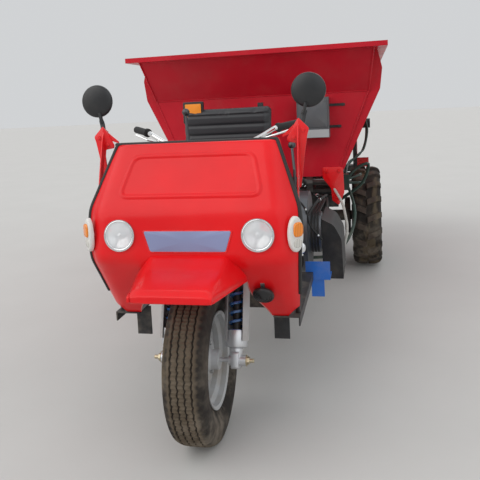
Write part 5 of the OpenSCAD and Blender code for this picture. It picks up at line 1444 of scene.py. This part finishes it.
def build_hoses():
    """Black hoses round the engine's left side, each swept along a softened path, with bright clamps on
    them and two round caps beside them."""
    paths = [
        (0.0085, [(0.300, 1.400, 0.860), (0.330, 1.250, 0.900), (0.318, 1.060, 0.960), (0.270, 0.900, 0.930),
                  (0.205, 0.800, 0.830)]),
        (0.0065, [(0.360, 1.430, 0.800), (0.440, 1.330, 0.800), (0.455, 1.150, 0.840), (0.410, 0.960, 0.830),
                  (0.345, 0.820, 0.740), (0.300, 0.740, 0.560)]),
        (0.0055, [(0.250, 0.690, 0.700), (0.330, 0.700, 0.660), (0.360, 0.720, 0.560),
                  (0.300, 0.730, 0.470)]),
        (0.0075, [(0.190, 0.640, 0.560), (0.270, 0.640, 0.540), (0.345, 0.690, 0.600), (0.352, 0.730, 0.700),
                  (0.290, 0.760, 0.780)]),
        (0.0050, [(0.210, 0.820, 0.880), (0.300, 0.790, 0.900), (0.365, 0.800, 0.830), (0.380, 0.850, 0.720),
                  (0.440, 0.880, 0.640)]),
    ]
    hoses, clamps = [], []
    for radius, points in paths:
        path = place(spread(soften(np.array(points), 0.035, 6), 0.012))
        hoses.append(swept(path, ring(radius, 10)))
        for k in (3, len(path) // 2, len(path) - 4):
            at = frame_at(path[k], path[k + 1] - path[k - 1], (1, 0, 0))
            r = radius + 0.0022
            clamps.append(turned([(radius - 0.001, -0.005), (r, -0.005), (r, 0.005), (radius - 0.001, 0.005)],
                                 at, 20))
    piece("engine_hoses", joined(*hoses), finish("grip_rubber"))
    cap = [(POLE, 0), (0.026, 0), (0.028, 0.003), (0.028, 0.012), (0.024, 0.016), (0.012, 0.018),
           (POLE, 0.018)]
    for spot, out in (((0.342, 0.690, 0.640), (0.55, -0.8, 0.1)), ((0.300, 0.735, 0.762), (0.3, -0.9, 0.2))):
        clamps.append(turned(cap, frame_at(place(spot), out), 36))
    piece("hose_clamps", joined(*clamps), finish("lamp_chrome"))


def build_gate_bolts():
    """A row of bolts down each of the gate's guides."""
    z = np.arange(0.930, 1.600, 0.095)
    rows = np.array([(x, 3.9178, h) for x in (-0.519, 0.519) for h in z])
    piece("guide_bolts", scattered(hex_head(0.0055, 0.006), facing(place(rows), (0, 1, 0))),
          finish("lever_steel"))


class SPREADER_OT_fork(bpy.types.Operator):
    """Make the fork's slider legs, spring guards and axle nuts"""
    bl_idname = "spreader.fork"
    bl_label = "Fork"

    def execute(self, context):
        build_fork_legs()
        build_guards()
        build_axle_nuts()
        return {"FINISHED"}


class SPREADER_OT_wheel_nuts(bpy.types.Operator):
    """Make the nuts and valve stems of the wheels"""
    bl_idname = "spreader.wheel_nuts"
    bl_label = "Wheel nuts"

    def execute(self, context):
        build_wheel_nuts()
        return {"FINISHED"}


class SPREADER_OT_hopper(bpy.types.Operator):
    """Make the hopper's welds and hangers, the control box's parts and the chain links"""
    bl_idname = "spreader.hopper"
    bl_label = "Hopper"

    def execute(self, context):
        build_hopper()
        build_box()
        build_chain()
        return {"FINISHED"}


class SPREADER_OT_engine(bpy.types.Operator):
    """Make the engine's bolts, filter, pipes, fins, belt guard and hoses"""
    bl_idname = "spreader.engine"
    bl_label = "Engine"

    def execute(self, context):
        build_engine()
        build_belt_guard()
        build_hoses()
        return {"FINISHED"}


class SPREADER_OT_gate(bpy.types.Operator):
    """Make the bolts of the gate's guides"""
    bl_idname = "spreader.gate"
    bl_label = "Gate"

    def execute(self, context):
        build_gate_bolts()
        return {"FINISHED"}


# Stage

CAMERA_AT = (0.6738, -4.4655, 1.3746)
CAMERA_TURN, CAMERA_PITCH, CAMERA_ROLL = 0.2318, 0.1087, -0.0519
# The photograph's focal length, middle and frame in pixels, and the window of it that the camera shows
PHOTO_FOCAL, PHOTO_MIDDLE, PHOTO_SIZE = 279.243, (240, 213), 480
WINDOW, WINDOW_MIDDLE = 216, (249, 243)


def build_camera():
    """The camera at the photograph's own place and angle, showing a window of its frame."""
    turn, pitch = CAMERA_TURN, CAMERA_PITCH
    forward = np.array([-math.sin(turn) * math.cos(pitch), math.cos(turn) * math.cos(pitch),
                        -math.sin(pitch)])
    right = np.array([math.cos(turn), math.sin(turn), 0])
    up = np.cross(right, forward)
    c, s = math.cos(CAMERA_ROLL), math.sin(CAMERA_ROLL)
    matrix = np.eye(4)
    matrix[:3, 0], matrix[:3, 1] = c * right + s * up, -s * right + c * up
    matrix[:3, 2], matrix[:3, 3] = -forward, CAMERA_AT
    data = bpy.data.cameras.new("camera")
    data.sensor_width = 36
    data.sensor_fit = "HORIZONTAL"
    data.lens = PHOTO_FOCAL / WINDOW * 36
    data.shift_x = (WINDOW_MIDDLE[0] - PHOTO_MIDDLE[0]) / WINDOW
    data.shift_y = (PHOTO_MIDDLE[1] - WINDOW_MIDDLE[1]) / WINDOW
    camera = bpy.data.objects.new("camera", data)
    camera.matrix_world = Matrix(matrix.tolist())
    bpy.context.scene.collection.objects.link(camera)
    bpy.context.scene.camera = camera


def build_floor():
    """A wide flat floor, as an even grid, in a pale cloudy grey."""
    f = Finish("floor_finish")
    f.done(base_color=f.mix(f.noise(1.5, 4), (0.51, 0.50, 0.485), (0.56, 0.55, 0.535)), roughness=0.85,
           normal=f.bump(f.noise(60, 4), 0.0006, 0.4))
    x = np.linspace(-60, 60, 25)
    y = np.linspace(-60, 60, 25)
    grid = np.stack(np.meshgrid(x, y, [0.0], indexing="ij"), axis=-1)[:, :, 0]
    mesh = bpy.data.meshes.new("floor")
    mesh.from_pydata(grid.reshape(-1, 3).tolist(), [], quads(25, 25)[:, ::-1].tolist())
    floor = bpy.data.objects.new("floor", mesh)
    mesh.materials.append(f.material)
    bpy.context.scene.collection.objects.link(floor)


def soft_sun(name, at, strength, spread_deg, colour=(1, 1, 1)):
    """A broad even light that comes from a direction."""
    data = bpy.data.lights.new(name, "SUN")
    data.energy, data.angle, data.color = strength, math.radians(spread_deg), colour
    lamp = bpy.data.objects.new(name, data)
    lamp.matrix_world = Matrix(frame_at(at, at).tolist())
    bpy.context.scene.collection.objects.link(lamp)


def build_light():
    """A pale sky that brightens upwards, a plain backdrop where the camera sees it, and three broad lights."""
    world = bpy.data.worlds.new("studio")
    bpy.context.scene.world = world
    world.use_nodes = True
    tree = world.node_tree
    back = tree.nodes["Background"]
    where = tree.nodes.new("ShaderNodeTexCoord")
    split = tree.nodes.new("ShaderNodeSeparateXYZ")
    rise = tree.nodes.new("ShaderNodeMapRange")
    rise.interpolation_type = "SMOOTHSTEP"
    rise.inputs["From Min"].default_value, rise.inputs["From Max"].default_value = -0.15, 0.75
    rise.inputs["To Min"].default_value, rise.inputs["To Max"].default_value = 0.34, 0.80
    path = tree.nodes.new("ShaderNodeLightPath")
    mix = tree.nodes.new("ShaderNodeMix")
    mix.data_type = "FLOAT"
    mix.inputs[3].default_value = 0.66
    tree.links.new(where.outputs["Generated"], split.inputs[0])
    tree.links.new(split.outputs["Z"], rise.inputs["Value"])
    tree.links.new(rise.outputs[0], mix.inputs[2])
    tree.links.new(path.outputs["Is Camera Ray"], mix.inputs[0])
    tree.links.new(mix.outputs[0], back.inputs["Strength"])
    back.inputs["Color"].default_value = (0.96, 0.98, 1.0, 1)
    soft_sun("key", (-7.0, -5.5, 6.5), 1.3, 70, (1.0, 0.98, 0.95))
    soft_sun("fill", (6.5, -5.5, 4.0), 0.6, 70, (0.95, 0.98, 1.0))
    soft_sun("back", (1.0, 7.5, 6.0), 0.45, 60)


class SPREADER_OT_stage(bpy.types.Operator):
    """Make the camera, the floor and the studio light"""
    bl_idname = "spreader.stage"
    bl_label = "Stage"

    def execute(self, context):
        build_camera()
        build_floor()
        build_light()
        bpy.context.scene.view_settings.view_transform = "Standard"
        return {"FINISHED"}


class SPREADER_PT_panel(bpy.types.Panel):
    """Lists the steps, the sizes and the colours"""
    bl_label = "Spreader"
    bl_idname = "SPREADER_PT_panel"
    bl_space_type = "VIEW_3D"
    bl_region_type = "UI"
    bl_category = "Spreader"

    def draw(self, context):
        for step in STEPS:
            self.layout.operator(step.bl_idname)
        for group in (context.scene.spreader_sizes, context.scene.spreader_colours):
            for key in group.bl_rna.properties.keys():
                if key not in ("rna_type", "name"):
                    self.layout.prop(group, key)


STEPS = (SPREADER_OT_stage, SPREADER_OT_finishes, SPREADER_OT_fairing, SPREADER_OT_lamps, SPREADER_OT_seat,
         SPREADER_OT_tyres, SPREADER_OT_fork, SPREADER_OT_wheel_nuts, SPREADER_OT_hopper, SPREADER_OT_engine,
         SPREADER_OT_gate)
CLASSES = (SpreaderSizes, SpreaderColours) + STEPS + (SPREADER_PT_panel,)


def register():
    for cls in CLASSES:
        bpy.utils.register_class(cls)
    bpy.types.Scene.spreader_sizes = PointerProperty(type=SpreaderSizes)
    bpy.types.Scene.spreader_colours = PointerProperty(type=SpreaderColours)


def unregister():
    del bpy.types.Scene.spreader_sizes
    del bpy.types.Scene.spreader_colours
    for cls in reversed(CLASSES):
        bpy.utils.unregister_class(cls)


def main():
    """Registers the add-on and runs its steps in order."""
    register()
    bpy.ops.spreader.stage()
    bpy.ops.spreader.finishes()
    bpy.ops.spreader.fairing()
    bpy.ops.spreader.lamps()
    bpy.ops.spreader.seat()
    bpy.ops.spreader.tyres()
    bpy.ops.spreader.fork()
    bpy.ops.spreader.wheel_nuts()
    bpy.ops.spreader.hopper()
    bpy.ops.spreader.engine()
    bpy.ops.spreader.gate()


if __name__ == "__main__":
    main()
